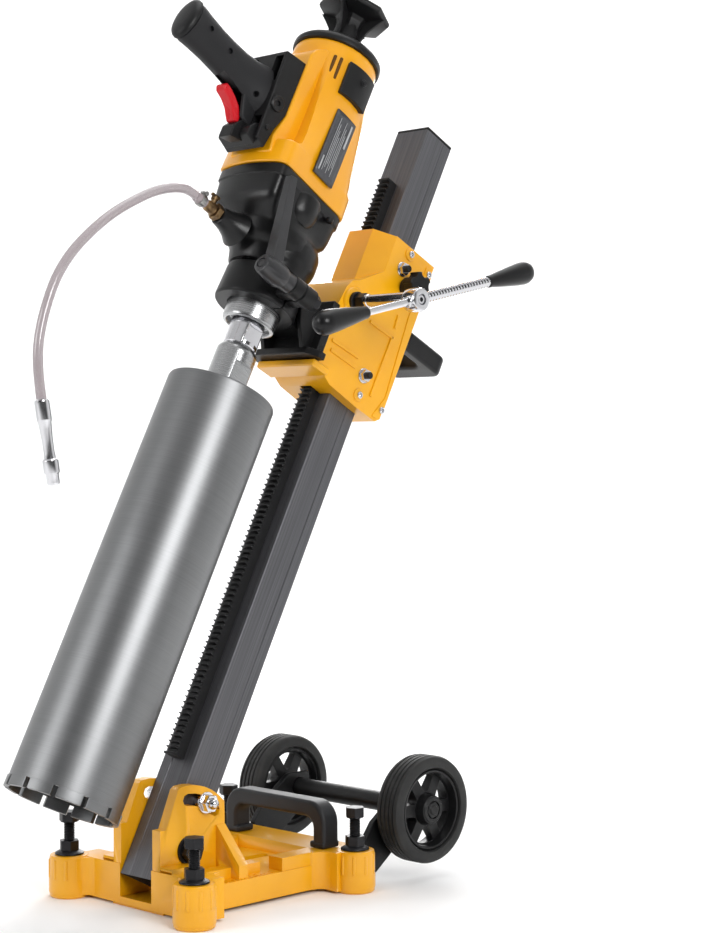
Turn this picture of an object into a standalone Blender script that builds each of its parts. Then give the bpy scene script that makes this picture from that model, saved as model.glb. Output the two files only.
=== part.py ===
"""Core drill rig: a wheeled cast base, a tilting column with a rack, a cranked carriage and a wet core drill.

Frame: origin at the middle of the base's underside, +Z up. The drill stands on the front side, -Y, the crank
is on +X and the wheels are at the back, +Y. Sizes are in millimetres; MM turns the finished meshes into metres.
Mast pieces are laid out in the mast's own frame: its origin is the middle of the front edge of the column's
foot, z runs up the column, y runs back into it, so the rack, carriage and drill are at negative y.
"""

import math

import bmesh
import bpy
from mathutils import Matrix, Vector

MM = 0.001
GAP = 0.3

# Base
SCREW_X, SCREW_Y = 102.5, 113.4
BOSS_RADIUS, BOSS_TOP = 20.5, 44.7
DECK_TOP, BEAM_TOP = 30.0, 44.2
EAR_INSIDE, EAR_THICK = 25.6, 12.6
EAR_OUTSIDE = EAR_INSIDE + EAR_THICK
EAR_RADIUS = 67.0
FOOT_FLOOR = 10.0
AXLE_Y, AXLE_Z = 209.6, 77.6
WHEEL_RADIUS, WHEEL_WIDTH, WHEEL_OUTSIDE = 59.4, 33.0, 129.0

# Mast
TILT = 27.42
PIVOT_Y, PIVOT_Z = -66.7, 61.5
PIVOT_BACK, PIVOT_UP = 23.0, 42.0
TILT_BOLT_UP = 94.0
SLOT_ARC = TILT_BOLT_UP - PIVOT_UP
COLUMN_X, COLUMN_Y, COLUMN_Z, COLUMN_WALL = 49.8, 46.0, 919.0, 4.0
MODULE = 2.0
RACK_HALF, RACK_DEEP = 8.0, 16.0
RACK_BOTTOM, RACK_TEETH = 129.5, 113
PINION_TEETH = 12
PINION_Y = -(RACK_DEEP - MODULE + MODULE * PINION_TEETH / 2 + GAP)
PINION_Z = 675.0 - MODULE * math.pi

# Carriage and clamp
CARRIAGE_HALF, CARRIAGE_TOP, CARRIAGE_BOTTOM = 40.0, 771.0, 565.0
CARRIAGE_BACK, SEAT_Y = 70.0, -47.0
NECK_RADIUS, COLLAR_RADIUS = 30.0, 44.5
COLLAR_BOTTOM, COLLAR_TOP = 604.6, 644.0
LUG_X, LUG_Z, LUG_FRONT = 62.0, 624.0, -138.0

# Drill
SPINDLE_Y, MOTOR_Y = -123.0, -142.0
GEAR_MODULE = 1.5
PINION_10, GEAR_29, PINION_13, GEAR_32 = 10, 29, 13, 32
BIT_RADIUS, BIT_WALL, BIT_TOP, BIT_BOTTOM = 60.0, 3.5, 502.0, 32.0
HOSE_RADIUS = 5.2
HOSE_ROUTE = [(-19.4, 746.7), (-33, 751.6), (-52.4, 751.2), (-76.8, 745.2), (-105.9, 732.2), (-135, 715.7),
              (-163.4, 694.1), (-185.8, 672.2), (-202.3, 648.9), (-214.4, 621.5), (-222.5, 594.5),
              (-225.4, 572.4), (-224.6, 550.3), (-221.6, 527.6)]
COUPLER_END = (-206.6, 439.4)

for old in list(bpy.data.objects):
    bpy.data.objects.remove(old, do_unlink=True)

parts = bpy.data.collections.new("core_drill_rig")
cutters = bpy.data.collections.new("cutters")
cutters.hide_render = True
for group in (parts, cutters):
    bpy.context.scene.collection.children.link(group)


# Helpers: materials, frames and meshes -----------------------------------------------------------

def painted(name, colour, roughness, metallic=0.0):
    """A Principled material from an sRGB hex colour."""
    made = bpy.data.materials.new(name)
    made.use_nodes = True
    channels = [int(colour[i:i + 2], 16) / 255 for i in (0, 2, 4)]
    linear = [c / 12.92 if c <= 0.04045 else ((c + 0.055) / 1.055) ** 2.4 for c in channels]
    shader = made.node_tree.nodes["Principled BSDF"]
    shader.inputs["Base Color"].default_value = (*linear, 1)
    shader.inputs["Roughness"].default_value = roughness
    shader.inputs["Metallic"].default_value = metallic
    return made


YELLOW_CAST = painted("yellow_cast", "F2AC14", 0.45)
YELLOW_PLASTIC = painted("yellow_plastic", "F5A90F", 0.4)
BLACK_PLASTIC = painted("black_plastic", "232325", 0.5)
BLACK_CAST = painted("black_cast", "1E1E20", 0.4)
BLACK_STEEL = painted("black_steel", "262627", 0.45, 0.6)
COLUMN_GREY = painted("column_grey", "55555A", 0.4, 0.8)
CHROME = painted("chrome", "DADADC", 0.15, 1.0)
STEEL = painted("steel", "A8A8AA", 0.3, 1.0)
BRASS = painted("brass", "8C7654", 0.4, 1.0)
RUBBER = painted("rubber", "1B1B1C", 0.75)
RED_PLASTIC = painted("red_plastic", "D2232C", 0.35)
COPPER = painted("copper", "B0693F", 0.4, 1.0)
CLEAR_HOSE = painted("clear_hose", "E4DADA", 0.3)


def empty(name, location, parent=None, turn_x=0.0):
    made = bpy.data.objects.new(name, None)
    made.location = Vector(location) * MM
    made.rotation_euler = (math.radians(turn_x), 0, 0)
    made.parent = parent
    parts.objects.link(made)
    return made


MAST_TILT = empty("mast_tilt", (0, PIVOT_Y, PIVOT_Z), turn_x=-TILT)
MAST = empty("mast_frame", (0, -PIVOT_BACK, -PIVOT_UP), MAST_TILT)


def finished(mesh):
    """The mesh with its seams welded and every face turned outwards."""
    work = bmesh.new()
    work.from_mesh(mesh)
    bmesh.ops.remove_doubles(work, verts=work.verts, dist=0.0001)
    bmesh.ops.recalc_face_normals(work, faces=work.faces)
    work.to_mesh(mesh)
    work.free()
    return mesh


def baked(obj):
    """The evaluated mesh of a curve or of an object with modifiers, which is then removed."""
    bpy.context.scene.collection.objects.link(obj)
    bpy.context.view_layer.update()
    mesh = bpy.data.meshes.new_from_object(obj.evaluated_get(bpy.context.evaluated_depsgraph_get()))
    bpy.data.objects.remove(obj, do_unlink=True)
    return finished(mesh)


def from_bmesh(work, name):
    mesh = bpy.data.meshes.new(name)
    work.to_mesh(mesh)
    work.free()
    return finished(mesh)


def block(x, y, z, bevel=0.0):
    """A box between pairs of limits, with its edges rounded if a bevel is given."""
    work = bmesh.new()
    bmesh.ops.create_cube(work, size=1)
    bmesh.ops.scale(work, vec=(x[1] - x[0], y[1] - y[0], z[1] - z[0]), verts=work.verts)
    bmesh.ops.translate(work, vec=((x[0] + x[1]) / 2, (y[0] + y[1]) / 2, (z[0] + z[1]) / 2), verts=work.verts)
    if bevel:
        bmesh.ops.bevel(work, geom=work.edges[:], offset=bevel, segments=1, affect="EDGES")
    return from_bmesh(work, "block")


def rod(start, end, radius, end_radius=None, sides=16, turn=0.0):
    """A round bar or cone between two points."""
    start, end = Vector(start), Vector(end)
    work = bmesh.new()
    bmesh.ops.create_cone(work, cap_ends=True, segments=sides, radius1=radius,
                          radius2=radius if end_radius is None else end_radius, depth=(end - start).length)
    place = Matrix.Translation((start + end) / 2) @ (end - start).to_track_quat("Z", "Y").to_matrix().to_4x4()
    bmesh.ops.transform(work, matrix=place @ Matrix.Rotation(math.radians(turn), 4, "Z"), verts=work.verts)
    return from_bmesh(work, "rod")


def turned(profile, base=(0, 0, 0), along=(0, 0, 1), steps=24):
    """A turned shape: (radius, height) pairs run down its outer side, and a ring's loop closes on itself."""
    mesh = bpy.data.meshes.new("profile")
    count = len(profile)
    edges = [(i, i + 1) for i in range(count - 1)]
    if profile[0][0] > 0:
        edges.append((count - 1, 0))
    mesh.from_pydata([(r, 0, h) for r, h in profile], edges, [])
    obj = bpy.data.objects.new("turned", mesh)
    screw = obj.modifiers.new("Screw", "SCREW")
    screw.steps = screw.render_steps = steps
    screw.use_merge_vertices = True
    screw.merge_threshold = 0.0001
    mesh = baked(obj)
    mesh.transform(Matrix.Translation(base) @ Vector(along).to_track_quat("Z", "Y").to_matrix().to_4x4())
    return mesh


PLANES = {"X": Matrix(((0, 0, 1), (1, 0, 0), (0, 1, 0))).to_4x4(),
          "Y": Matrix(((1, 0, 0), (0, 0, 1), (0, 1, 0))).to_4x4(),
          "Z": Matrix.Identity(4)}


def plate(axis, low, high, outline, *holes):
    """A flat outline, with any holes, extruded along an axis. Outline points are in the other two axes."""
    curve = bpy.data.curves.new("outline", "CURVE")
    curve.dimensions = "2D"
    curve.fill_mode = "BOTH"
    curve.extrude = (high - low) / 2
    for loop in (outline, *holes):
        spline = curve.splines.new("POLY")
        spline.points.add(len(loop) - 1)
        for point, (u, v) in zip(spline.points, loop):
            point.co = (u, v, 0, 1)
        spline.use_cyclic_u = True
    mesh = baked(bpy.data.objects.new("plate", curve))
    mesh.transform(PLANES[axis] @ Matrix.Translation((0, 0, (low + high) / 2)))
    return finished(mesh)


def arc(centre, radius, start, end, steps):
    """Points on an arc, in degrees from the first axis towards the second."""
    angles = [math.radians(start + (end - start) * i / steps) for i in range(steps + 1)]
    return [(centre[0] + radius * math.cos(a), centre[1] + radius * math.sin(a)) for a in angles]


def rounded_box(half_u, half_v, radius, centre=(0, 0), steps=3):
    corners = ((1, 1, 0), (-1, 1, 90), (-1, -1, 180), (1, -1, 270))
    return [p for su, sv, a in corners
            for p in arc((centre[0] + su * (half_u - radius), centre[1] + sv * (half_v - radius)),
                         radius, a, a + 90, steps)]


def gear_outline(teeth, module, turn=0.0, centre=(0, 0)):
    """Straight-sided teeth that meet in a narrow root."""
    pitch = 2 * math.pi / teeth
    outer, root = module * (teeth / 2 + 0.5), module * (teeth / 2 - 1.2)
    points = []
    for i in range(teeth):
        for radius, share in ((outer, -0.12), (outer, 0.12), (root, 0.5)):
            a = math.radians(turn) + (i + share) * pitch
            points.append((centre[0] + radius * math.cos(a), centre[1] + radius * math.sin(a)))
    return points


def placed(obj, mesh_frame, origin):
    obj.data.transform(Matrix.Scale(MM, 4) @ Matrix.Translation(-Vector(origin)))
    obj.parent = mesh_frame
    obj.location = Vector(origin) * MM


def solid(name, mesh, material, frame=None, origin=(0, 0, 0), smooth=True):
    """A named piece, its mesh laid out in its frame and its origin on its joint's axis."""
    mesh.name = name
    mesh.materials.clear()
    mesh.materials.append(material)
    obj = bpy.data.objects.new(name, mesh)
    placed(obj, frame, origin)
    parts.objects.link(obj)
    if smooth:
        mesh.shade_smooth()
        mesh.set_sharp_from_angle(angle=math.radians(35))
    return obj


def combine(obj, operation, meshes):
    for mesh in meshes:
        tool = bpy.data.objects.new(f"{obj.name}_{operation.lower()}", mesh)
        placed(tool, obj.parent, (0, 0, 0))
        tool.display_type = "WIRE"
        tool.hide_render = True
        cutters.objects.link(tool)
        step = obj.modifiers.new(operation.title(), "BOOLEAN")
        step.operation = operation
        step.object = tool


def join(obj, *meshes):
    combine(obj, "UNION", meshes)


def cut(obj, *meshes):
    combine(obj, "DIFFERENCE", meshes)


def mirrored(mesh):
    """The same mesh on the other side of the X = 0 plane."""
    copy = mesh.copy()
    copy.transform(Matrix.Scale(-1, 4, (1, 0, 0)))
    return finished(copy)


def both_sides(*meshes):
    return [m for mesh in meshes for m in (mesh, mirrored(mesh))]


def hexagon(across_flats, centre=(0, 0), turn=0.0):
    radius = across_flats / math.sqrt(3)
    return arc(centre, radius, turn, turn + 300, 5)


# Base --------------------------------------------------------------------------------------------

def base_casting():
    """Four bosses joined by beams and a deck, two slotted ears for the column's foot, open underneath."""
    deck = solid("base_casting", block((-78, 78), (-98, 126), (4, DECK_TOP)), YELLOW_CAST)
    front = block((-SCREW_X, SCREW_X), (-106, -74), (3, BEAM_TOP))
    rear = block((-SCREW_X, SCREW_X), (86, 134), (3, BEAM_TOP))
    bosses = [turned([(0, BOSS_TOP), (BOSS_RADIUS - 1.5, BOSS_TOP), (BOSS_RADIUS, BOSS_TOP - 1.5),
                      (BOSS_RADIUS, 20), (BOSS_RADIUS + 0.8, 19), (BOSS_RADIUS + 0.8, 2),
                      (BOSS_RADIUS - 1, 0), (0, 0)], (x, y, 0), steps=20)
              for x in (-SCREW_X, SCREW_X) for y in (-SCREW_Y, SCREW_Y)]
    rail = block((56, 77), (30, 100), (6, BEAM_TOP - 0.2))
    rib = block((46, 62), (-80, 12), (6, 41))
    foot = block((-EAR_OUTSIDE - 3, EAR_OUTSIDE + 3), (-103, 14), (0, 28))
    ear = plate("X", EAR_INSIDE, EAR_OUTSIDE, ear_outline())
    ledge = block((EAR_OUTSIDE - 2, 56), (-104, -70), (6, 49))
    gusset = plate("Y", -29, -17, [(EAR_OUTSIDE - 2, 20), (EAR_OUTSIDE - 2, 84), (EAR_OUTSIDE + 2, 82),
                                   (75, 44), (75, 20)])
    join(deck, front, rear, *bosses, foot, *both_sides(rail, rib, ear, ledge, gusset))
    slot = block((-EAR_INSIDE, EAR_INSIDE), (-140, -38), (FOOT_FLOOR, 160))
    side_pocket = block((45, 72), (-68, 22), (-2, 24))
    rear_pocket = block((-72, 72), (22, 80), (-2, 24))
    anchor = plate("Z", 20, 60, rounded_box(7, 27, 6.99, (0, 51)))
    bores = [rod((x, y, -1), (x, y, 60), 6.4) for x in (-SCREW_X, SCREW_X) for y in (-SCREW_Y, SCREW_Y)]
    pivot = rod((-60, PIVOT_Y, PIVOT_Z), (60, PIVOT_Y, PIVOT_Z), 6.8)
    arc_slot = plate("X", -60, 60, slot_outline())
    cut(deck, slot, rear_pocket, anchor, *both_sides(side_pocket), *bores, pivot, arc_slot)


def ear_outline():
    top = arc((PIVOT_Y, PIVOT_Z), EAR_RADIUS, 98, 42, 6)
    return [(-104.3, 3), (-104.3, 86), (-96.4, 86), (-80, 125), *top, (-16.5, 96), (-16.5, 3)]


def slot_outline():
    """The bolt's path through an ear, from the upright column to one leaning 45 degrees."""
    half = 6.4
    upright, leaning = 90.5, 44.5
    outside = arc((PIVOT_Y, PIVOT_Z), SLOT_ARC + half, upright, leaning, 4)
    inside = arc((PIVOT_Y, PIVOT_Z), SLOT_ARC - half, leaning, upright, 4)
    end = arc(arc((PIVOT_Y, PIVOT_Z), SLOT_ARC, leaning, leaning, 1)[0], half, leaning, leaning - 180, 4)
    start = arc(arc((PIVOT_Y, PIVOT_Z), SLOT_ARC, upright, upright, 1)[0], half, upright + 180, upright, 4)
    return [*outside, *end[1:-1], *inside, *start[1:-1]]


def levelling_screws():
    """One jacking bolt and one flanged lock nut in each boss."""
    corners = {"front_left": (-1, -1), "front_right": (1, -1), "rear_left": (-1, 1), "rear_right": (1, 1)}
    for corner, (sx, sy) in corners.items():
        x, y = sx * SCREW_X, sy * SCREW_Y
        screw = solid(f"levelling_screw_{corner}", rod((x, y, 1.5), (x, y, 81), 6), BLACK_STEEL,
                      origin=(x, y, 0))
        join(screw, plate("Z", 79, 91, hexagon(19, (x, y))))
        nut = solid(f"levelling_nut_{corner}", rod((x, y, BOSS_TOP + GAP), (x, y, 47.5), 15.5, 14.5),
                    BLACK_STEEL)
        join(nut, plate("Z", 46, 60, hexagon(19, (x, y), 30)))
        cut(nut, rod((x, y, 40), (x, y, 70), 6.4))


def carry_handle():
    """A moulded arch across the back of the base."""
    outside = rounded_box(80, 60, 26, (0, 35), 5)
    inside = rounded_box(62, 42, 14, (0, 35), 4)
    arch = solid("carry_handle", plate("Y", 88, 112, outside), BLACK_PLASTIC)
    cut(arch, plate("Y", 80, 120, inside), block((-90, 90), (80, 120), (-40, BEAM_TOP + GAP)))


def wheel_bracket():
    """A cross plate on the base's rear face with an arm up to the axle on each side."""
    cross = solid("wheel_bracket", block((-92, 92), (134 + GAP, 139), (6, 42)), BLACK_STEEL)
    arm = plate("X", 85, 92, [(137, 4), (137, 46), (153, 67), (193, 95), (224, 95), (229, 68), (214, 55),
                              (177, 26), (147, 4)])
    join(cross, *both_sides(arm))
    cut(cross, rod((-100, AXLE_Y, AXLE_Z), (100, AXLE_Y, AXLE_Z), 11 + GAP))


def axle_and_wheels():
    axle = solid("axle", rod((-95.4, AXLE_Y, AXLE_Z), (95.4, AXLE_Y, AXLE_Z), 11), BLACK_STEEL)
    join(axle, rod((-131, AXLE_Y, AXLE_Z), (131, AXLE_Y, AXLE_Z), 6))
    for side, sign in (("left", -1), ("right", 1)):
        inner, outer = sign * (WHEEL_OUTSIDE - WHEEL_WIDTH), sign * WHEEL_OUTSIDE
        centre = (inner, AXLE_Y, AXLE_Z)
        width = abs(outer - inner)
        wheel = solid(f"wheel_{side}", turned(
            [(14, width), (14, 21), (40, 21), (41, width - 3), (44.5, width - 3), (44.5, 3), (41, 3),
             (40, 9), (14, 9), (12, 0.5), (6 + GAP, 0.5), (6 + GAP, width)], centre, (sign, 0, 0), 24),
            BLACK_PLASTIC, origin=centre)
        spoke_gap = [(17, -5), (17, 5), *arc((0, 0), 37, 20, -20, 2)]
        gaps = []
        for i in range(6):
            turn = math.radians(60 * i + 30)
            gaps.append(plate("X", min(inner, outer) - 1, max(inner, outer) + 1,
                              [(AXLE_Y + u * math.cos(turn) - v * math.sin(turn),
                                AXLE_Z + u * math.sin(turn) + v * math.cos(turn)) for u, v in spoke_gap]))
        cut(wheel, *gaps)
        solid(f"tyre_{side}", turned(
            [(53, width), (57, width - 2), (WHEEL_RADIUS, width - 6), (WHEEL_RADIUS, 6), (57, 2), (53, 0),
             (46, 0.5), (44.5 + GAP, 3), (44.5 + GAP, width - 3), (46, width - 0.5)],
            centre, (sign, 0, 0), 28), RUBBER, origin=centre)


def pivot_bolt():
    """The bolt that the column swings on, held in both ears."""
    head = plate("X", EAR_OUTSIDE + GAP, 47, hexagon(22, (PIVOT_Y, PIVOT_Z), 10))
    bolt = solid("pivot_bolt", rod((-54, PIVOT_Y, PIVOT_Z), (42, PIVOT_Y, PIVOT_Z), 6.4), BLACK_STEEL)
    join(bolt, head)
    nut = solid("pivot_nut", plate("X", -48, -EAR_OUTSIDE - GAP, hexagon(19, (PIVOT_Y, PIVOT_Z)),
                                   arc((PIVOT_Y, PIVOT_Z), 6.4 + GAP, 0, 345, 23)), BLACK_STEEL)
    return nut


# Mast --------------------------------------------------------------------------------------------

def column():
    """A square tube, with a cap in its upper end, a rack on its front and a bolt hole for each pivot."""
    half = COLUMN_X / 2
    outline = [(-half, 0), (-half, COLUMN_Y), (half, COLUMN_Y), (half, 33.2), (half - 0.7, 32.6),
               (half, 32), (half, 0.6), (half - 0.6, 0), (-9.1, 0), (-9.7, 0.7), (-10.3, 0)]
    inside = rounded_box(half - COLUMN_WALL, COLUMN_Y / 2 - COLUMN_WALL, 2, (0, COLUMN_Y / 2), 1)
    tube = solid("column", plate("Z", 0, COLUMN_Z, outline, inside), COLUMN_GREY, MAST, smooth=False)
    for height in (PIVOT_UP, TILT_BOLT_UP):
        cut(tube, rod((-40, PIVOT_BACK, height), (40, PIVOT_BACK, height), 6.8))
    cap = solid("column_cap", block((-half, half), (0, COLUMN_Y), (COLUMN_Z + GAP, COLUMN_Z + 4), 1.2),
                BLACK_PLASTIC, MAST)
    join(cap, plate("Z", COLUMN_Z - 14, COLUMN_Z + 2,
                    rounded_box(half - COLUMN_WALL - GAP, COLUMN_Y / 2 - COLUMN_WALL - GAP, 1.8,
                                (0, COLUMN_Y / 2), 1)))
    solid("rack", plate("X", -RACK_HALF, RACK_HALF, rack_outline()), BLACK_STEEL, MAST, smooth=False)


def rack_outline():
    pitch = math.pi * MODULE
    tip, root = -RACK_DEEP, -RACK_DEEP + 2.15 * MODULE
    points = [(-GAP, RACK_BOTTOM), (tip, RACK_BOTTOM)]
    for i in range(RACK_TEETH):
        middle = RACK_BOTTOM + 2 + pitch * (i + 0.5)
        points += [(tip, middle - 0.435 * pitch), (root, middle - 0.24 * pitch),
                   (root, middle + 0.24 * pitch), (tip, middle + 0.435 * pitch)]
    top = RACK_BOTTOM + 4 + pitch * RACK_TEETH
    return [*points, (tip, top), (-GAP, top)]


def tilt_bolt():
    """The bolt through the column and both arc slots, with a plain washer face and a domed nut."""
    y, z = PIVOT_BACK, TILT_BOLT_UP
    bolt = solid("tilt_bolt", rod((-41, y, z), (49, y, z), 6), CHROME, MAST)
    join(bolt, plate("X", -48, -EAR_OUTSIDE - GAP, hexagon(18, (y, z))))
    nut = solid("tilt_nut", turned([(0, 17.5), (4, 17), (6.4, 14.8), (7.3, 12.5), (7.5, 10.5), (8.6, 10), (8.8, 2.4),
                                    (10.8, 2), (10.8, 0), (6 + GAP, 0), (6 + GAP, 11), (0, 11)],
                                   (EAR_OUTSIDE + GAP, y, z), (1, 0, 0), 20), CHROME, MAST)
    return nut


# Carriage ----------------------------------------------------------------------------------------

def carriage_housing():
    """The casting that runs on the column, with an eight-sided hood above and the drill's seat in front."""
    outline = [(CARRIAGE_BACK, CARRIAGE_TOP), (0, CARRIAGE_TOP), (0, 724), (-28, 696), (-39, 689),
               (-44, 678), (SEAT_Y, 655), (SEAT_Y, 580), (-18, 568), (30, CARRIAGE_BOTTOM),
               (64, CARRIAGE_BOTTOM), (CARRIAGE_BACK, 571)]
    body = solid("carriage_housing", plate("X", -CARRIAGE_HALF, CARRIAGE_HALF, outline), YELLOW_CAST, MAST)
    hood = plate("Z", 690, CARRIAGE_TOP - 0.5, [(-39.4, 5), (-39.4, -0.5), (-19, -20), (19, -20),
                                                (39.4, -0.5), (39.4, 5)])
    shelf = block((-46, 46), (-56, -30), (572, 580.4), 1.5)
    ring = rod((39, PINION_Y, PINION_Z), (43, PINION_Y, PINION_Z), 13)
    join(body, hood, shelf, ring)
    half = COLUMN_X / 2 + GAP
    cut(body, block((-half, half), (-GAP, COLUMN_Y + GAP), (540, 800)),
        block((-RACK_HALF - 1, RACK_HALF + 1), (-RACK_DEEP - 1, 2), (540, 800)),
        rod((-13, PINION_Y, PINION_Z), (13, PINION_Y, PINION_Z), 16),
        rod((0, PINION_Y, PINION_Z), (50, PINION_Y, PINION_Z), 8 + GAP),
        rod((-37, PINION_Y, PINION_Z), (0, PINION_Y, PINION_Z), 6 + GAP),
        *[rod((20, y, z), (60, y, z), 4 + GAP) for y, z in (*GLIDE_SCREWS, LOCK_SCREW)])


GLIDE_SCREWS = [(24.0, 741.0), (24.0, 602.0)]
LOCK_SCREW = (40.0, 725.0)


def carriage_fittings():
    """The side screws that set the glides, the lock knob and the lifting handle behind."""
    for name, (y, z) in zip(("upper", "lower"), GLIDE_SCREWS):
        screw = solid(f"glide_screw_{name}", rod((25.6, y, z), (51, y, z), 4), CHROME, MAST)
        join(screw, plate("X", CARRIAGE_HALF + GAP, 45.5, hexagon(13, (y, z), 10)))
    y, z = LOCK_SCREW
    lobes = [p for i in range(6) for p in ((18 * math.cos(a), 18 * math.sin(a))
             for a in (math.radians(60 * i + d) for d in (-14, 0, 14)))]
    dips = [(14 * math.cos(math.radians(60 * i + 30)), 14 * math.sin(math.radians(60 * i + 30)))
            for i in range(6)]
    star = [(y + u, z + v) for i in range(6) for u, v in (*lobes[3 * i:3 * i + 3], dips[i])]
    knob = solid("lock_knob", plate("X", 50, 64, star), BLACK_PLASTIC, MAST, (25.6, y, z))
    join(knob, rod((25.6, y, z), (52, y, z), 4))
    loop = solid("carriage_handle",
                 plate("Z", 663, 687, [(-40, CARRIAGE_BACK + GAP), (-40, 132), (-31, 141), (31, 141),
                                       (40, 132), (40, CARRIAGE_BACK + GAP)],
                       [(-24, 79), (-24, 116), (24, 116), (24, 79)]), BLACK_PLASTIC, MAST)
    return loop


def crank():
    """The rack's pinion and shaft, with a hub outside that holds a straight bar and a grip on each end."""
    axis = (0, PINION_Y, PINION_Z)
    shaft = solid("pinion_shaft", plate("X", -11, 11, gear_outline(PINION_TEETH, MODULE, PINION_TURN,
                                                                  (PINION_Y, PINION_Z))),
                  BLACK_STEEL, MAST, axis)
    join(shaft, rod((-36, PINION_Y, PINION_Z), (0, PINION_Y, PINION_Z), 6),
         rod((0, PINION_Y, PINION_Z), (58, PINION_Y, PINION_Z), 8),
         rod((43.5, PINION_Y, PINION_Z), (47.5, PINION_Y, PINION_Z), 11),
         plate("X", 46, 61, hexagon(16, (PINION_Y, PINION_Z))))
    hub_y, hub_z = PINION_Y - 1, PINION_Z - 4
    hub = solid("crank_hub", rod((61 + GAP, PINION_Y, PINION_Z), (130, PINION_Y, PINION_Z), 6.8), CHROME,
                MAST, axis)
    join(hub, turned([(0, 22), (10, 22), (13, 19.5), (13.4, 10), (12, 3), (8, 0), (0, 0)],
                     (125, hub_y, hub_z), (1, 0, 0), 20))
    lift = math.radians(CRANK_ANGLE)
    along = Vector((0, math.cos(lift), math.sin(lift)))
    centre = Vector((137, hub_y, hub_z))
    bar = solid("crank_bar", rod(centre - 107 * along, centre + 150 * along, 4.2), CHROME, MAST,
                axis)
    join(bar, rod(centre + 12.4 * along, centre + 137 * along, 5.4))
    cut(hub, rod(centre - 30 * along, centre + 12.2 * along, 4.2 + GAP, sides=16),
        rod(centre, centre + 40 * along, 5.4 + GAP, sides=16))
    grip = [(0, 76), (7, 75), (11.5, 71), (13.5, 63), (12.8, 50), (9.5, 24), (6.8, 2), (6.2, 0),
            (5.4 + GAP, 0), (5.4 + GAP, 30), (0, 30)]
    solid("crank_grip_front", turned(grip, centre - 78 * along, -along, 16), BLACK_PLASTIC, MAST, axis)
    solid("crank_grip_rear", turned(grip, centre + 121 * along, along, 16), BLACK_PLASTIC, MAST, axis)


CRANK_ANGLE = TILT + 12.4
PINION_TURN = 0.0


# Clamp -------------------------------------------------------------------------------------------

def clamp_bracket():
    """The plate on the carriage's seat, with gussets up to a collar that is slit between its two lugs."""
    back = solid("clamp_bracket", block((-46, 46), (-58, SEAT_Y - GAP), (582, 652), 1), BLACK_CAST, MAST)
    floor = plate("Z", 580.4 + GAP, 589, [(-48, -50), (48, -50), (48, -57), (40, -68), (-40, -68), (-48, -57)])
    neck = block((-24, 24), (-87, -50), (606.2, 641))
    gusset = plate("X", 28, 34, [(-52, 585), (-66, 585), (-84, 612), (-98, 640), (-52, 640)])
    collar = turned([(0, COLLAR_TOP), (COLLAR_RADIUS - 1.5, COLLAR_TOP), (COLLAR_RADIUS, COLLAR_TOP - 1.5),
                     (COLLAR_RADIUS, COLLAR_BOTTOM + 1.5), (COLLAR_RADIUS - 1.5, COLLAR_BOTTOM),
                     (0, COLLAR_BOTTOM)], (0, SPINDLE_Y, 0), steps=28)
    lug = rod((LUG_X, -104, LUG_Z), (LUG_X, LUG_FRONT, LUG_Z), 12)
    web = block((38, LUG_X), (-137, -108), (LUG_Z - 11, LUG_Z + 11))
    join(back, floor, neck, *both_sides(gusset), collar, lug, web)
    cut(back, rod((0, SPINDLE_Y, 560), (0, SPINDLE_Y, 700), NECK_RADIUS + GAP, sides=28),
        block((20, 90), (-123.5, -122), (560, 700)),
        rod((LUG_X, -100, LUG_Z), (LUG_X, -145, LUG_Z), 5 + GAP))


def clamp_lever():
    """A long handle on a round hub, with the stud that draws the jaw in."""
    lever = solid("clamp_lever",
                  turned([(0, 46), (8, 46), (10, 44), (11.5, 37), (12.6, 22), (12.5, 12), (10, 5), (9, 0), (0, 0)],
                         (LUG_X, LUG_FRONT - GAP, LUG_Z), (0, -1, 0), 20), BLACK_CAST, MAST,
                  (LUG_X, LUG_FRONT, LUG_Z))
    join(lever, rod((LUG_X, -93, LUG_Z), (LUG_X, LUG_FRONT - 4, LUG_Z), 5),
         rod((LUG_X, -168, LUG_Z), (LUG_X, -188, 727), 10.5, 6.5, 4, 45))
    nut = solid("clamp_nut", plate("Y", -104 + GAP, -95, hexagon(17, (LUG_X, LUG_Z))), BLACK_STEEL, MAST)
    cut(nut, rod((LUG_X, -90, LUG_Z), (LUG_X, -110, LUG_Z), 5 + GAP))


# Drill -------------------------------------------------------------------------------------------

def gearbox_housing():
    """A stepped casing over the gears, its lower end centred on the spindle, with a port for water."""
    upper = turned([(0, 741.7), (66, 741.7), (66.5, 739), (66.5, 706), (63, 700), (57, 694), (50, 686),
                    (44, 668), (0, 660)], (0, MOTOR_Y, 0), steps=28)
    case = solid("gearbox_housing", upper, BLACK_CAST, MAST)
    lower = turned([(0, 690), (46, 690), (48, 680), (47.5, 664), (45, 656), (43, COLLAR_TOP + 3),
                    (0, COLLAR_TOP + 3)], (0, SPINDLE_Y, 0), steps=28)
    join(case, lower, rod((0, -150, 668), (0, -214, 668), 14, 12, 20))
    cut(case, rod((0, MOTOR_Y, 699.5), (0, MOTOR_Y, 750), 60, sides=28),
        rod((0, SPINDLE_Y, 640), (0, SPINDLE_Y, 710), 12.4),
        rod((0, -190, WATER_Z), (0, -220, WATER_Z), 5 + GAP, sides=16))
    solid("clamping_neck", turned(
        [(28, COLLAR_TOP + 2.6), (NECK_RADIUS, COLLAR_TOP + 1), (NECK_RADIUS, 586), (28, 584), (25, 584),
         (23, 592), (20, 594), (14, 594), (14, COLLAR_TOP + 2.6)], (0, SPINDLE_Y, 0), steps=28), STEEL, MAST)


WATER_Z = 671.0


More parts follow.
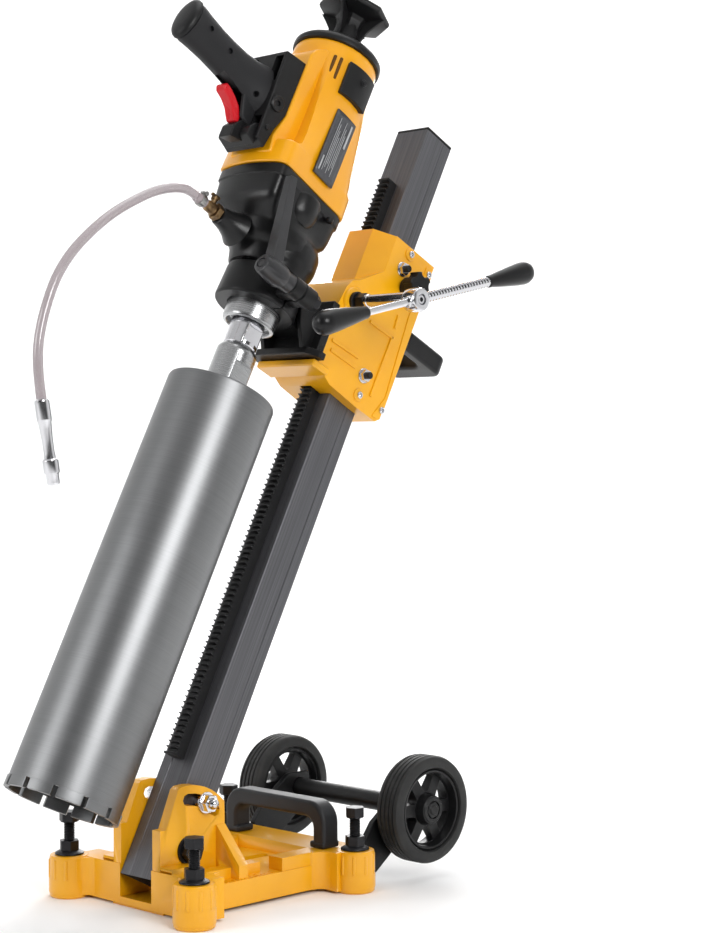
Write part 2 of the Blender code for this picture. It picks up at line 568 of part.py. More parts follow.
def water_line():
    """The threaded inlet with its barb, and the hose that hangs from it with a tap coupler on its end."""
    inlet = solid("water_inlet", turned(
        [(0, 60), (4.2, 60), (5, 57), (4.2, 54), (5, 51), (4.2, 48), (5, 45), (6.5, 42), (6.5, 32),
         (8.8, 31), (8.8, 24.5), (5, 24), (5, 4), (0, 4)], (0, -190, WATER_Z), (0, -1, 0), 16), BRASS, MAST)
    join(inlet, rod((0, -226, WATER_Z), (0, -226, WATER_Z + 11), 4, sides=12))
    start, end = Vector((0, *HOSE_ROUTE[-1])), Vector((0, *COUPLER_END))
    along = (end - start).normalized()
    solid("hose_coupler", turned(
        [(0, 87), (6.6, 87), (6.9, 75), (8.2, 74), (8.2, 61), (6.2, 60), (6.0, 40), (6.8, 22), (7.6, 20),
         (7.6, 1.5), (6, GAP), (0, GAP)], start, along, 20), CHROME)
    curve = bpy.data.curves.new("water_hose", "CURVE")
    curve.dimensions = "3D"
    curve.bevel_depth = HOSE_RADIUS * MM
    curve.bevel_resolution = 2
    curve.use_fill_caps = True
    points = smooth_route(HOSE_ROUTE, 3)
    spline = curve.splines.new("POLY")
    spline.points.add(len(points) - 1)
    for point, (y, z) in zip(spline.points, points):
        point.co = (0, y * MM, z * MM, 1)
    hose = bpy.data.objects.new("water_hose", curve)
    curve.materials.append(CLEAR_HOSE)
    parts.objects.link(hose)


def smooth_route(route, steps):
    """Points along a smooth curve through the route's own points."""
    ends = [route[0], *route, route[-1]]
    points = []
    for a, b, c, d in zip(ends, ends[1:], ends[2:], ends[3:]):
        for i in range(steps):
            t = i / steps
            points.append(tuple(0.5 * (2 * q + (r - p) * t + (2 * p - 5 * q + 4 * r - s) * t * t
                                       + (3 * q - p - 3 * r + s) * t ** 3) for p, q, r, s in zip(a, b, c, d)))
    return [*points, route[-1]]


def motor_housing():
    """The moulded motor casing, its flat front pad for the switch box and a moulded bump low at the back."""
    body = solid("motor_housing", turned(
        [(49.5, 916.7), (51, 890), (54, 845), (57, 806), (62, 778), (65.5, 770), (66, 742.3),
         (45, 742.3), (45, 916.7)], (0, MOTOR_Y, 0), steps=28), YELLOW_PLASTIC, MAST)
    join(body, block((-31, 31), (-200, -188), (802, 874), 1.5), block((-22, 22), (-96, -80), (806, 822), 3))
    solid("motor_end_cap", turned(
        [(0, 938), (24, 937), (38, 932), (49, 926), (51.8, 922), (51.8, 917), (44, 917), (44, 914), (0, 914)],
        (0, MOTOR_Y, 0), steps=28), BLACK_PLASTIC, MAST)
    solid("rear_stand", turned(
        [(0, 988), (30, 987), (40, 985), (42.3, 981), (42.3, 977), (38, 973), (28, 966), (21, 957),
         (19.5, 948), (20.5, 938 + GAP), (0, 938 + GAP)], (0, MOTOR_Y, 0), steps=24), BLACK_PLASTIC, MAST)
    for side, sign in (("right", 1), ("left", -1)):
        start = 0 if sign == 1 else 180
        cover = plate("Z", 856, 897, [*arc((0, MOTOR_Y), 56.5, start - 26, start + 26, 6),
                                      *arc((0, MOTOR_Y), 53.8, start + 26, start - 26, 6)])
        solid(f"brush_cover_{side}", cover, BLACK_PLASTIC, MAST)


def handle_and_switch():
    """The switch box on the motor's front pad, with a pistol grip standing out of it."""
    box = solid("switch_box", plate("X", -30, 30, [
        (-200.4, 870), (-231, 867), (-227, 759), (-212.5, 753), (-208.8, 778), (-200.4, 802)]),
        BLACK_PLASTIC, MAST, smooth=False)
    join(box, plate("X", -9.5, 9.5, [(-224, 800), (-236, 800), (-237, 776), (-246, 764), (-246, 744), (-222, 756)]))
    grip = solid("pistol_grip", turned([(0, 118), (27, 118), (28, 112), (27.5, 60), (29, 8), (30, 0), (0, 0)],
                                       GRIP_ROOT, GRIP_ALONG, 20), BLACK_PLASTIC, MAST)
    squeeze = Matrix.Scale(0.72, 4, (1, 0, 0))
    grip.data.transform(squeeze)
    cut(grip, block((-10, 10), (-284, -225), (750, 806)),
        block((-40, 40), (-227 - GAP, -190), (740, 900)), block((-40, 40), (-231 - GAP, -190), (780, 900)))
    cap = solid("grip_cap", turned([(0, 8), (24, 7.5), (28.5, 4), (28.5, GAP), (0, GAP)],
                                   Vector(GRIP_ROOT) + 118 * Vector(GRIP_ALONG).normalized(),
                                   GRIP_ALONG, 20), BLACK_PLASTIC, MAST)
    cap.data.transform(squeeze)
    solid("trigger", plate("X", -9, 9, [(-240, 788), (-262, 799), (-281, 796), (-278, 786), (-248, 765),
                                        (-240, 776)]), RED_PLASTIC, MAST, (0, -258, 786))


GRIP_ROOT = (0, -226, 819)
GRIP_ALONG = (0, -1, 0.104)


def core_bit():
    """The diamond crown: a thin barrel with a notched rim, and the hub that screws onto the spindle."""
    barrel = solid("core_bit", turned(
        [(0, BIT_TOP), (BIT_RADIUS - 1, BIT_TOP), (BIT_RADIUS, BIT_TOP - 1), (BIT_RADIUS, 43),
         (BIT_RADIUS + 1.2, 42), (BIT_RADIUS + 1.2, BIT_BOTTOM), (BIT_RADIUS - BIT_WALL - 1, BIT_BOTTOM),
         (BIT_RADIUS - BIT_WALL - 1, 42), (BIT_RADIUS - BIT_WALL, 43), (BIT_RADIUS - BIT_WALL, BIT_TOP - 5),
         (0, BIT_TOP - 5)], (0, SPINDLE_Y, 0), steps=32), STEEL, MAST, (0, SPINDLE_Y, 0))
    notches = []
    for i in range(6):
        notch = block((-80, 80), (-2.5, 2.5), (BIT_BOTTOM - 5, 42))
        notch.transform(Matrix.Translation((0, SPINDLE_Y, 0)) @ Matrix.Rotation(math.radians(30 * i + 12), 4, "Z"))
        notches.append(notch)
    cut(barrel, *notches)
    hub = solid("bit_hub", turned([(13, 556), (19, 556), (22.5, 552), (22.5, BIT_TOP + GAP),
                                   (10, BIT_TOP + GAP), (10, 530), (13, 532)], (0, SPINDLE_Y, 0), steps=28),
                STEEL, MAST, (0, SPINDLE_Y, 0))
    cut(hub, *both_sides(block((19.5, 30), (-150, -100), (512, 536))))


def spindle():
    """The output spindle and its gear, on one axis with the core bit."""
    axis = (0, SPINDLE_Y, 0)
    shaft = solid("spindle", turned(
        [(0, 716), (8, 716), (8, 700), (12, 699), (12, 594), (13.6, 593.6), (18.8, 592), (18.8, 556.4),
         (12.6, 556.3), (12.6, 534), (0, 534)], axis, steps=20), CHROME, MAST, axis)
    cut(shaft, *both_sides(block((16, 30), (-150, -100), (566, 582))))
    solid("spindle_gear", plate("Z", 703, 712, gear_outline(GEAR_32, GEAR_MODULE, SPINDLE_GEAR_TURN,
                                                            (0, SPINDLE_Y)),
                                arc((0, SPINDLE_Y), 8 + GAP, 0, 340, 17)), STEEL, MAST, axis)


def motor_parts():
    """The layshaft between motor and spindle, the wound armature with its pinion, and the field stack."""
    lay = (LAY_X, LAY_Y, 0)
    layshaft = solid("layshaft", plate("Z", 717, 726, gear_outline(GEAR_29, GEAR_MODULE, LAY_GEAR_TURN,
                                                                   (LAY_X, LAY_Y))), STEEL, MAST, lay)
    join(layshaft, plate("Z", 702, 714, gear_outline(PINION_13, GEAR_MODULE, LAY_PINION_TURN, (LAY_X, LAY_Y))),
         rod((LAY_X, LAY_Y, 700), (LAY_X, LAY_Y, 740), 6, sides=16))
    motor = (0, MOTOR_Y, 0)
    armature = solid("armature", rod((0, MOTOR_Y, 782), (0, MOTOR_Y, 858), 24), COPPER, MAST, motor)
    join(armature, rod((0, MOTOR_Y, 728), (0, MOTOR_Y, 912), 4.6, sides=16),
         rod((0, MOTOR_Y, 872), (0, MOTOR_Y, 894), 15),
         plate("Z", 716, 730, gear_outline(PINION_10, GEAR_MODULE, MOTOR_PINION_TURN, (0, MOTOR_Y))))
    solid("field_stack", turned([(44.4, 862), (44.4, 778), (25.5, 778), (25.5, 862)], motor, steps=20),
          BLACK_STEEL, MAST)


def gear_places():
    """The layshaft's place, from the two gear pairs' centre distances, and each gear's turn for meshing."""
    to_motor = GEAR_MODULE * (PINION_10 + GEAR_29) / 2
    to_spindle = GEAR_MODULE * (PINION_13 + GEAR_32) / 2
    apart = SPINDLE_Y - MOTOR_Y
    back = (apart ** 2 + to_motor ** 2 - to_spindle ** 2) / (2 * apart)
    x, y = math.sqrt(to_motor ** 2 - back ** 2), MOTOR_Y + back
    from_spindle = math.degrees(math.atan2(y - SPINDLE_Y, x))
    from_motor = math.degrees(math.atan2(y - MOTOR_Y, x))
    lay_pinion = from_spindle + 180 + 180 / PINION_13
    lay_gear = from_motor + 180 + 180 / GEAR_29
    return x, y, from_spindle, lay_pinion, lay_gear, from_motor


LAY_X, LAY_Y, SPINDLE_GEAR_TURN, LAY_PINION_TURN, LAY_GEAR_TURN, MOTOR_PINION_TURN = gear_places()

base_casting()
levelling_screws()
carry_handle()
wheel_bracket()
axle_and_wheels()
pivot_bolt()
column()
tilt_bolt()
carriage_housing()
carriage_fittings()
crank()
clamp_bracket()
clamp_lever()
gearbox_housing()
motor_housing()
handle_and_switch()
core_bit()
spindle()
motor_parts()
water_line()
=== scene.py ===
"""Core drill rig: the finished look of each piece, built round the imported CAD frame.

Lengths are in millimetres until a piece is shown. Pieces of the base are laid out as they stand. Pieces of the
mast are laid out in the mast's own frame, in which z runs up the column and y runs back into it, and are then
leaned back with it.
"""

import math

import bmesh
import bpy
from mathutils import Matrix, Vector


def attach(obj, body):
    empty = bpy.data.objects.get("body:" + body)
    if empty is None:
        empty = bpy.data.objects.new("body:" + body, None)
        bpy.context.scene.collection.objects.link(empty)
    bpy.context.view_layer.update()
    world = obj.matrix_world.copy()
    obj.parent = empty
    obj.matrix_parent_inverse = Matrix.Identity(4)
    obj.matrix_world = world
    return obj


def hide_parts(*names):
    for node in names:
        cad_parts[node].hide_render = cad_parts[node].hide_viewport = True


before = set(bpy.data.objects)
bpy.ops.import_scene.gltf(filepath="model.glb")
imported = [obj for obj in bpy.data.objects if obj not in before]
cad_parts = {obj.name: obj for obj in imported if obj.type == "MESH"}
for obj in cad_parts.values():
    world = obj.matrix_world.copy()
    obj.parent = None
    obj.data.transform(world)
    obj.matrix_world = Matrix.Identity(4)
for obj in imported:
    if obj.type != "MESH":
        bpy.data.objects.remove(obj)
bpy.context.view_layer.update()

# Studio -------------------------------------------------------------------------------------------
# A pale bowl: a flat floor that turns up into a wall all round, so it has no horizon. Its colour is painted darker on
# the camera's side: painted shade standing in for a dark, unlit studio there, for the glossy parts to reflect. The
# camera stands in front of the rig on the crank's side, and five large soft panels light it.


def turned(profile, base=(0, 0, 0), along=(0, 0, 1), steps=64):
    """A shape turned on a lathe. Its (radius, height) pairs run down the outside; a ring's loop closes on itself."""
    shape = bmesh.new()
    points = [shape.verts.new((r, 0, h)) for r, h in profile]
    if profile[0][0] > 0 and profile[-1][0] > 0 and profile[0] != profile[-1]:
        points.append(points[0])
    edges = [shape.edges.new(pair) for pair in zip(points, points[1:])]
    bmesh.ops.spin(shape, geom=shape.verts[:] + edges, cent=(0, 0, 0), axis=(0, 0, 1), angle=2 * math.pi,
                   steps=steps, use_merge=True)
    place = Matrix.Translation(base) @ Vector(along).to_track_quat("Z", "Y").to_matrix().to_4x4()
    bmesh.ops.transform(shape, matrix=place, verts=shape.verts)
    bmesh.ops.remove_doubles(shape, verts=shape.verts, dist=0.001)
    bmesh.ops.recalc_face_normals(shape, faces=shape.faces)
    return shape


def arc(centre, radius, start, end, steps):
    angles = [math.radians(start + (end - start) * i / steps) for i in range(steps + 1)]
    return [(centre[0] + radius * math.cos(a), centre[1] + radius * math.sin(a)) for a in angles]


def colour(code):
    """An sRGB hex value as a linear colour."""
    parts = [int(code[i:i + 2], 16) / 255 for i in (0, 2, 4)]
    return (*[c / 12.92 if c <= 0.04045 else ((c + 0.055) / 1.055) ** 2.4 for c in parts], 1)


def add(finish, kind, sockets=None, **fields):
    """One node with its fields set. A socket takes a value, or another node's output, which is linked."""
    node = finish.node_tree.nodes.new(kind)
    for name, value in fields.items():
        setattr(node, name, value)
    for name, value in (sockets or {}).items():
        if isinstance(value, bpy.types.NodeSocket):
            finish.node_tree.links.new(value, node.inputs[name])
        else:
            node.inputs[name].default_value = value
    return node


def finish_named(name, **values):
    """A new material with a Principled shader, whose plain values are set here."""
    finish = bpy.data.materials.new(name)
    finish.use_nodes = True
    shader = finish.node_tree.nodes["Principled BSDF"]
    for key, value in values.items():
        shader.inputs[key.replace("_", " ")].default_value = value
    return finish, shader


def noise(finish, scale, detail, place=None):
    """A cloudy pattern in the object's own space, with so many cells to a metre."""
    if place is None:
        place = add(finish, "ShaderNodeTexCoord").outputs["Object"]
    return add(finish, "ShaderNodeTexNoise", {"Vector": place, "Scale": scale, "Detail": detail}).outputs[0]


def tones(finish, shader, pattern, low, high, start=0.0, end=1.0):
    """Colours the finish from one hex value to another along a pattern."""
    ramp = add(finish, "ShaderNodeValToRGB", {"Fac": pattern})
    ramp.color_ramp.elements[0].position, ramp.color_ramp.elements[0].color = start, colour(low)
    ramp.color_ramp.elements[1].position, ramp.color_ramp.elements[1].color = end, colour(high)
    finish.node_tree.links.new(ramp.outputs[0], shader.inputs["Base Color"])


studio_painted_shade, shader = finish_named("studio_paint", Roughness=0.92)
spot = add(studio_painted_shade, "ShaderNodeTexCoord").outputs["Object"]
turned_spot = add(studio_painted_shade, "ShaderNodeMapping", {"Vector": spot, "Rotation": (0, 0, math.radians(41))})
forward = add(studio_painted_shade, "ShaderNodeSeparateXYZ", {0: turned_spot.outputs[0]})
# Painted shade: the bowl's colour runs from pale F7F7F7 to dark 4A4A4A between 0.9 m and 2.9 m out on the camera's
# side.
painted_shade_fade = add(studio_painted_shade, "ShaderNodeMapRange", {0: forward.outputs["X"], 1: 0.9, 2: 2.9},
           interpolation_type="SMOOTHSTEP")
shade = add(studio_painted_shade, "ShaderNodeMath", {0: noise(studio_painted_shade, 6.0, 4.0), 1: 0.02, 2: painted_shade_fade.outputs[0]},
            operation="MULTIPLY_ADD")
tones(studio_painted_shade, shader, shade.outputs[0], "F7F7F7", "4A4A4A")
bowl = turned([(0, 0), (3600, 0), *[(3600 + 900 * math.sin(a), 900 - 900 * math.cos(a)) for a in
                                    (math.radians(15 * i) for i in range(1, 7))], (4500, 4200)], steps=96)
bmesh.ops.reverse_faces(bowl, faces=bowl.faces)
bowl_mesh = bpy.data.meshes.new("studio_bowl")
bowl.to_mesh(bowl_mesh)
bowl_mesh.transform(Matrix.Scale(0.001, 4))
bowl_mesh.shade_smooth()
bowl_mesh.materials.append(studio_painted_shade)
studio = bpy.data.objects.new("studio_bowl", bowl_mesh)
bpy.context.scene.collection.objects.link(studio)

AT_RIG, AT_WALL = Vector((0, 0.05, 0.45)), Vector((-3.4, 3.5, 0.9))
for name, power, size, place, aim in (
        ("key", 52, 1.1, (2.7, -0.7, 1.5), AT_RIG), ("fill", 26, 1.3, (-0.7, -2.7, 1.5), AT_RIG),
        ("top", 20, 1.8, (0.1, 0.6, 3.0), AT_RIG), ("back", 34, 1.2, (-1.7, 2.3, 1.5), AT_RIG),
        ("wall", 70, 2.0, (-1.5, 1.7, 3.5), AT_WALL)):
    panel = bpy.data.lights.new(name + "_panel", "AREA")
    panel.shape = "SQUARE"
    panel.size = size
    panel.energy = power
    lamp = bpy.data.objects.new(name + "_panel", panel)
    lamp.location = place
    lamp.rotation_euler = (aim - Vector(place)).to_track_quat("-Z", "Y").to_euler()
    bpy.context.scene.collection.objects.link(lamp)

world = bpy.data.worlds.new("studio_world")
world.use_nodes = True
world.node_tree.nodes["Background"].inputs["Color"].default_value = (1, 1, 1, 1)
world.node_tree.nodes["Background"].inputs["Strength"].default_value = 0.6
bpy.context.scene.world = world
bpy.context.scene.view_settings.view_transform = "Standard"

CAMERA_PLACE = (1.60813, -1.39681, 0.48194)
CAMERA_TURN, CAMERA_DOWN, CAMERA_ROLL = 44.7235, 0.6632, 0.2273  # degrees
lens = bpy.data.cameras.new("camera")
lens.sensor_width = 36
lens.lens = 76.52
lens.clip_end = 50
camera = bpy.data.objects.new("camera", lens)
camera.matrix_world = (Matrix.Translation(CAMERA_PLACE) @ Matrix.Rotation(math.radians(CAMERA_TURN), 4, "Z")
                       @ Matrix.Rotation(math.radians(90 - CAMERA_DOWN), 4, "X")
                       @ Matrix.Rotation(math.radians(-CAMERA_ROLL), 4, "Z"))
bpy.context.scene.collection.objects.link(camera)
bpy.context.scene.camera = camera

# Water hose ---------------------------------------------------------------------------------------
# Clear vinyl hose, 10.4 mm across, with a woven reinforcing thread inside its wall. It is pushed onto the inlet's
# barb, rises a little with its own stiffness, and then hangs from there with the coupler's weight on its end.
HOSE_WIDE, HOSE_LONG = 0.0104, 0.345
HOSE_ROUTE = [(-19.4, 746.7), (-33, 751.6), (-52.4, 751.2), (-76.8, 745.2), (-105.9, 732.2), (-135, 715.7),
              (-163.4, 694.1), (-185.8, 672.2), (-202.3, 648.9), (-214.4, 621.5), (-222.5, 594.5),
              (-225.4, 572.4), (-224.6, 550.3), (-221.6, 527.6)]


def smooth_route(route, steps):
    """Points along a smooth curve through the route's own points."""
    ends = [route[0], *route, route[-1]]
    points = []
    for a, b, c, d in zip(ends, ends[1:], ends[2:], ends[3:]):
        for i in range(steps):
            t = i / steps
            points.append(tuple(0.5 * (2 * q + (r - p) * t + (2 * p - 5 * q + 4 * r - s) * t * t
                                       + (3 * q - p - 3 * r + s) * t ** 3) for p, q, r, s in zip(a, b, c, d)))
    return [*points, route[-1]]


def bump(finish, shader, height, distance, strength=1.0):
    raised = add(finish, "ShaderNodeBump", {"Height": height, "Distance": distance, "Strength": strength})
    finish.node_tree.links.new(raised.outputs[0], shader.inputs["Normal"])


def from_points(name, points, radius, sides):
    """A round tube along points in metres, as a mesh with a UV map along its length."""
    line = bpy.data.curves.new(name, "CURVE")
    line.dimensions = "3D"
    line.bevel_depth = radius
    line.bevel_resolution = sides
    line.use_fill_caps = True
    spline = line.splines.new("POLY")
    spline.points.add(len(points) - 1)
    for point, place in zip(spline.points, points):
        point.co = (*place, 1)
    spline.use_smooth = True
    holder = bpy.data.objects.new(name, line)
    bpy.context.scene.collection.objects.link(holder)
    bpy.context.view_layer.update()
    mesh = bpy.data.meshes.new_from_object(holder.evaluated_get(bpy.context.evaluated_depsgraph_get()))
    bpy.data.objects.remove(holder)
    return mesh


hose_vinyl, shader = finish_named("clear_vinyl", Roughness=0.18, Specular_IOR_Level=0.6, Coat_Weight=0.4,
                                  Coat_Roughness=0.08)
place_along = add(hose_vinyl, "ShaderNodeUVMap", uv_map="UVMap")
weave_scale = add(hose_vinyl, "ShaderNodeMapping", {"Vector": place_along.outputs[0], "Scale": (140, 8, 1)})
thread = add(hose_vinyl, "ShaderNodeTexBrick", {"Vector": weave_scale.outputs[0], "Color1": colour("D9D3D4"),
                                                "Color2": colour("C9C1C3"), "Mortar": colour("9A8F92"),
                                                "Mortar Size": 0.09, "Scale": 1.0})
hose_vinyl.node_tree.links.new(thread.outputs["Color"], shader.inputs["Base Color"])
route = [(0, y / 1000, z / 1000) for y, z in smooth_route(HOSE_ROUTE, 5)]
hose = bpy.data.objects.new("hose", from_points("hose", route, HOSE_WIDE / 2, 4))
hose.data.shade_smooth()
hose.data.materials.append(hose_vinyl)
bpy.context.scene.collection.objects.link(hose)
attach(hose, "carriage")
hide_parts("water_hose")

# Base casting -------------------------------------------------------------------------------------
# One aluminium casting in yellow enamel: four bosses joined by beams and a deck, with two slotted ears for the
# column's foot. Its cast edges are rounded, the bosses are fluted at the bottom and a scale is cast into the deck.
BASE = Matrix.Identity(4)
TILT = math.radians(27.42)
MAST = (Matrix.Translation((0, -66.7, 61.5)) @ Matrix.Rotation(-TILT, 4, "X") @ Matrix.Translation((0, -23, -42)))


def block(x, y, z):
    shape = bmesh.new()
    bmesh.ops.create_cube(shape, size=1)
    bmesh.ops.scale(shape, vec=(x[1] - x[0], y[1] - y[0], z[1] - z[0]), verts=shape.verts)
    bmesh.ops.translate(shape, vec=((x[0] + x[1]) / 2, (y[0] + y[1]) / 2, (z[0] + z[1]) / 2), verts=shape.verts)
    return shape


def rod(start, end, radius, end_radius=None, sides=32, turn=0.0):
    start, end = Vector(start), Vector(end)
    shape = bmesh.new()
    bmesh.ops.create_cone(shape, cap_ends=True, segments=sides, radius1=radius,
                          radius2=radius if end_radius is None else end_radius, depth=(end - start).length)
    place = Matrix.Translation((start + end) / 2) @ (end - start).to_track_quat("Z", "Y").to_matrix().to_4x4()
    bmesh.ops.transform(shape, matrix=place @ Matrix.Rotation(math.radians(turn), 4, "Z"), verts=shape.verts)
    return shape


def slab(axis, low, high, outline):
    """A flat outline, in the other two axes, given a thickness along one axis."""
    shape = bmesh.new()
    turn = {"X": lambda u, v: (low, u, v), "Y": lambda u, v: (u, low, v), "Z": lambda u, v: (u, v, low)}[axis]
    face = shape.faces.new([shape.verts.new(turn(u, v)) for u, v in outline])
    top = bmesh.ops.extrude_face_region(shape, geom=[face], use_keep_orig=True)["geom"]
    shift = {"X": (high - low, 0, 0), "Y": (0, high - low, 0), "Z": (0, 0, high - low)}[axis]
    bmesh.ops.translate(shape, vec=shift, verts=[v for v in top if isinstance(v, bmesh.types.BMVert)])
    bmesh.ops.recalc_face_normals(shape, faces=shape.faces)
    return shape


def rounded(shape, width, segments=3, sharper_than=28):
    """The shape with its sharp edges rounded."""
    sharp = [e for e in shape.edges if e.is_manifold and e.calc_face_angle() > math.radians(sharper_than)]
    bmesh.ops.bevel(shape, geom=sharp, offset=width, segments=segments, affect="EDGES", profile=0.5,
                    clamp_overlap=True, material=-1)
    return shape


def together(*shapes):
    for other in shapes[1:]:
        loose = bpy.data.meshes.new("loose")
        other.to_mesh(loose)
        other.free()
        shapes[0].from_mesh(loose)
        bpy.data.meshes.remove(loose)
    return shapes[0]


def both_sides(shape):
    """The shape and its mirror image across the middle."""
    copy = shape.copy()
    bmesh.ops.scale(copy, vec=(-1, 1, 1), verts=copy.verts)
    bmesh.ops.reverse_faces(copy, faces=copy.faces)
    return together(shape, copy)


def carved(shape, tool, operation="DIFFERENCE"):
    """The shape with a tool cut out of it, or joined to it."""
    held = []
    for part in (shape, tool):
        mesh = bpy.data.meshes.new("held")
        part.to_mesh(mesh)
        part.free()
        held.append(bpy.data.objects.new("held", mesh))
        bpy.context.scene.collection.objects.link(held[-1])
    step = held[0].modifiers.new("carve", "BOOLEAN")
    step.operation = operation
    step.object = held[1]
    bpy.context.view_layer.update()
    result = bpy.data.meshes.new_from_object(held[0].evaluated_get(bpy.context.evaluated_depsgraph_get()))
    for part in held:
        bpy.data.objects.remove(part)
    made = bmesh.new()
    made.from_mesh(result)
    bmesh.ops.remove_doubles(made, verts=made.verts, dist=0.0005)
    return made


def node_copy(name):
    """A CAD piece's own shape in millimetres, welded, with its flat faces made whole."""
    shape = bmesh.new()
    shape.from_mesh(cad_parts[name].data)
    bmesh.ops.scale(shape, vec=(1000, 1000, 1000), verts=shape.verts)
    bmesh.ops.remove_doubles(shape, verts=shape.verts, dist=0.01)
    bmesh.ops.dissolve_limit(shape, angle_limit=math.radians(1.0), verts=shape.verts, edges=shape.edges)
    return shape


def show(name, shape, finish, body, stands_for=(), place=MAST, smooth=38):
    """The shape as a named piece, in metres and in its place, riding on a body."""
    bmesh.ops.transform(shape, matrix=Matrix.Scale(0.001, 4) @ place, verts=shape.verts)
    mesh = bpy.data.meshes.new(name)
    shape.to_mesh(mesh)
    shape.free()
    mesh.materials.append(finish)
    mesh.shade_smooth()
    mesh.set_sharp_from_angle(angle=math.radians(smooth))
    piece = bpy.data.objects.new(name, mesh)
    bpy.context.scene.collection.objects.link(piece)
    weigh = piece.modifiers.new("weigh", "WEIGHTED_NORMAL")
    weigh.keep_sharp = True
    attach(piece, body)
    if stands_for:
        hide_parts(*stands_for)
    return piece


def enamel(name, light, dark, roughness, grain, height, gloss=0.35, shine=0.5):
    """Sprayed enamel: an even colour with a faint drift over a hand's width, a coat of gloss and an orange peel."""
    finish, shader = finish_named(name, Roughness=roughness, Coat_Weight=gloss, Coat_Roughness=0.16,
                                  Specular_IOR_Level=shine)
    tones(finish, shader, noise(finish, 14.0, 3.0), dark, light, 0.35, 0.65)
    bump(finish, shader, noise(finish, 1000 / grain, 2.0), height)
    return finish


CAST_YELLOW = enamel("sprayed_yellow_enamel", "F0AC08", "E7A204", 0.34, 1.6, 0.00012, 0.3)
base = rounded(node_copy("base_casting"), 1.3, 2)
ribs, flares = [], []
BOSS_X, BOSS_Y = 102.5, 113.4
for sx, sy in ((1, -1), (-1, -1), (1, 1), (-1, 1)):
    at = (sx * BOSS_X, sy * BOSS_Y)
    for i in range(10):
        a = math.radians(36 * i + (12 if sx * sy < 0 else 24))
        x, y = at[0] + 20.1 * math.cos(a), at[1] + 20.1 * math.sin(a)
        if math.cos(a) * sx > -0.35 or math.sin(a) * sy > 0.6:
            ribs.append(rounded(rod((x, y, 20), (x, y, 41), 2.2, sides=14), 1.2, 2))
    ribs.append(turned([(20.4, 44.6), (21.2, 41.6), (21.2, 20.6), (22, 19.4), (22, 6), (20.8, 2.2), (18, 0.2),
                        (15, 0.2), (15, 44.6)], (*at, 0), steps=72))
    corner = arc((68, 120), 14, -90, 0, 6) if sy < 0 else arc((92, 73), 13, 180, 90, 6)
    plan = [(66, 96), *corner, (99, 113), (99, 96)] if sy < 0 else [(76, 70), *corner, (92, 92), (76, 92)]
    flares.append(rounded(slab("Z", 3.5, 43.6, [(sx * u, sy * v) for u, v in plan]), 0.8, 2))
    if sy < 0:
        plan = [(76, 56), *arc((92, 60), 14, 180, 90, 6), (92, 80), (76, 80)]
        flares.append(rounded(slab("Z", 3.5, 43.6, [(sx * u, -v) for u, v in plan]), 0.8, 2))
ticks = []
for s in (-1, 1):
    for i in range(17):
        edge, long = s * 77.4, 6 if i % 4 else 10
        ticks.append(block(sorted((edge - s * long, edge)), (-62 + 5 * i, -60.4 + 5 * i), (29.6, 30.7)))
show("base_shell", together(base, *ribs, *flares, *ticks), CAST_YELLOW, "base", ["base_casting"], BASE)

# Levelling screws ---------------------------------------------------------------------------------
# Black-oxide M12 screws with hexagon heads, each locked by a flanged nut on its boss. The blackening is thin, so
# the steel shows through it a little and the corners shine.


def sheen(finish, shader, pattern, low, high):
    """Lets the roughness wander between two values along a pattern."""
    spread = add(finish, "ShaderNodeMapRange", {0: pattern, 3: low, 4: high})
    finish.node_tree.links.new(spread.outputs[0], shader.inputs["Roughness"])


def oxide(name, base_colour, metallic, roughness):
    """Blackened steel: dull, with a cloudy sheen from oil left in the surface."""
    finish, shader = finish_named(name, Base_Color=colour(base_colour), Metallic=metallic)
    sheen(finish, shader, noise(finish, 90.0, 4.0), roughness - 0.09, roughness + 0.12)
    bump(finish, shader, noise(finish, 1400.0, 2.0), 0.00005)
    return finish


BLACK_OXIDE = oxide("black_oxide_steel", "2B2B2D", 0.75, 0.38)


def hexagon(across, centre=(0, 0), turn=0.0):
    return arc(centre, across / math.sqrt(3), turn, turn + 300, 5)


def thread(radius, pitch, low, high):
    """The outside of a threaded rod, from its top down."""
    count = int((high - low) / pitch)
    ridges = [p for i in range(count) for p in ((radius, high - pitch * (i + 0.2)),
                                                (radius * 0.86, high - pitch * (i + 0.65)))]
    return [(0, high), (radius * 0.86, high), *ridges, (radius * 0.8, low), (0, low)]


for corner, (sx, sy) in {"front_left": (-1, -1), "front_right": (1, -1), "rear_left": (-1, 1),
                         "rear_right": (1, 1)}.items():
    at = (sx * BOSS_X, sy * BOSS_Y)
    shank = turned(thread(6, 1.75, 1.6, 80), (*at, 0), steps=24)
    head = rounded(slab("Z", 80, 90.6, hexagon(19, at, 17 * sx)), 0.9, 2)
    collar = turned([(0, 80.5), (8.8, 80.5), (9.2, 79.4), (0, 79.2)], (*at, 0), steps=32)
    show("screw_" + corner, together(shank, head, collar), BLACK_OXIDE, "screw_" + corner,
         ["levelling_screw_" + corner], BASE)
    nut = rounded(slab("Z", 47, 59.8, hexagon(19, at, 30)), 0.8, 2)
    skirt = turned([(8.8, 49.6), (11, 49), (15, 47), (15.5, 46.2), (15.5, 45.4), (8.8, 45.2)], (*at, 0), steps=40)
    show("nut_" + corner, together(nut, skirt), BLACK_OXIDE, "base", ["levelling_nut_" + corner],
         BASE)

# Carry handle, wheel bracket, axle and wheels -----------------------------------------------------
# The handle is a moulded nylon arch. The bracket is bent black steel plate with a tubular axle across it, and the
# wheels are six-spoked mouldings with solid rubber tyres pressed on.


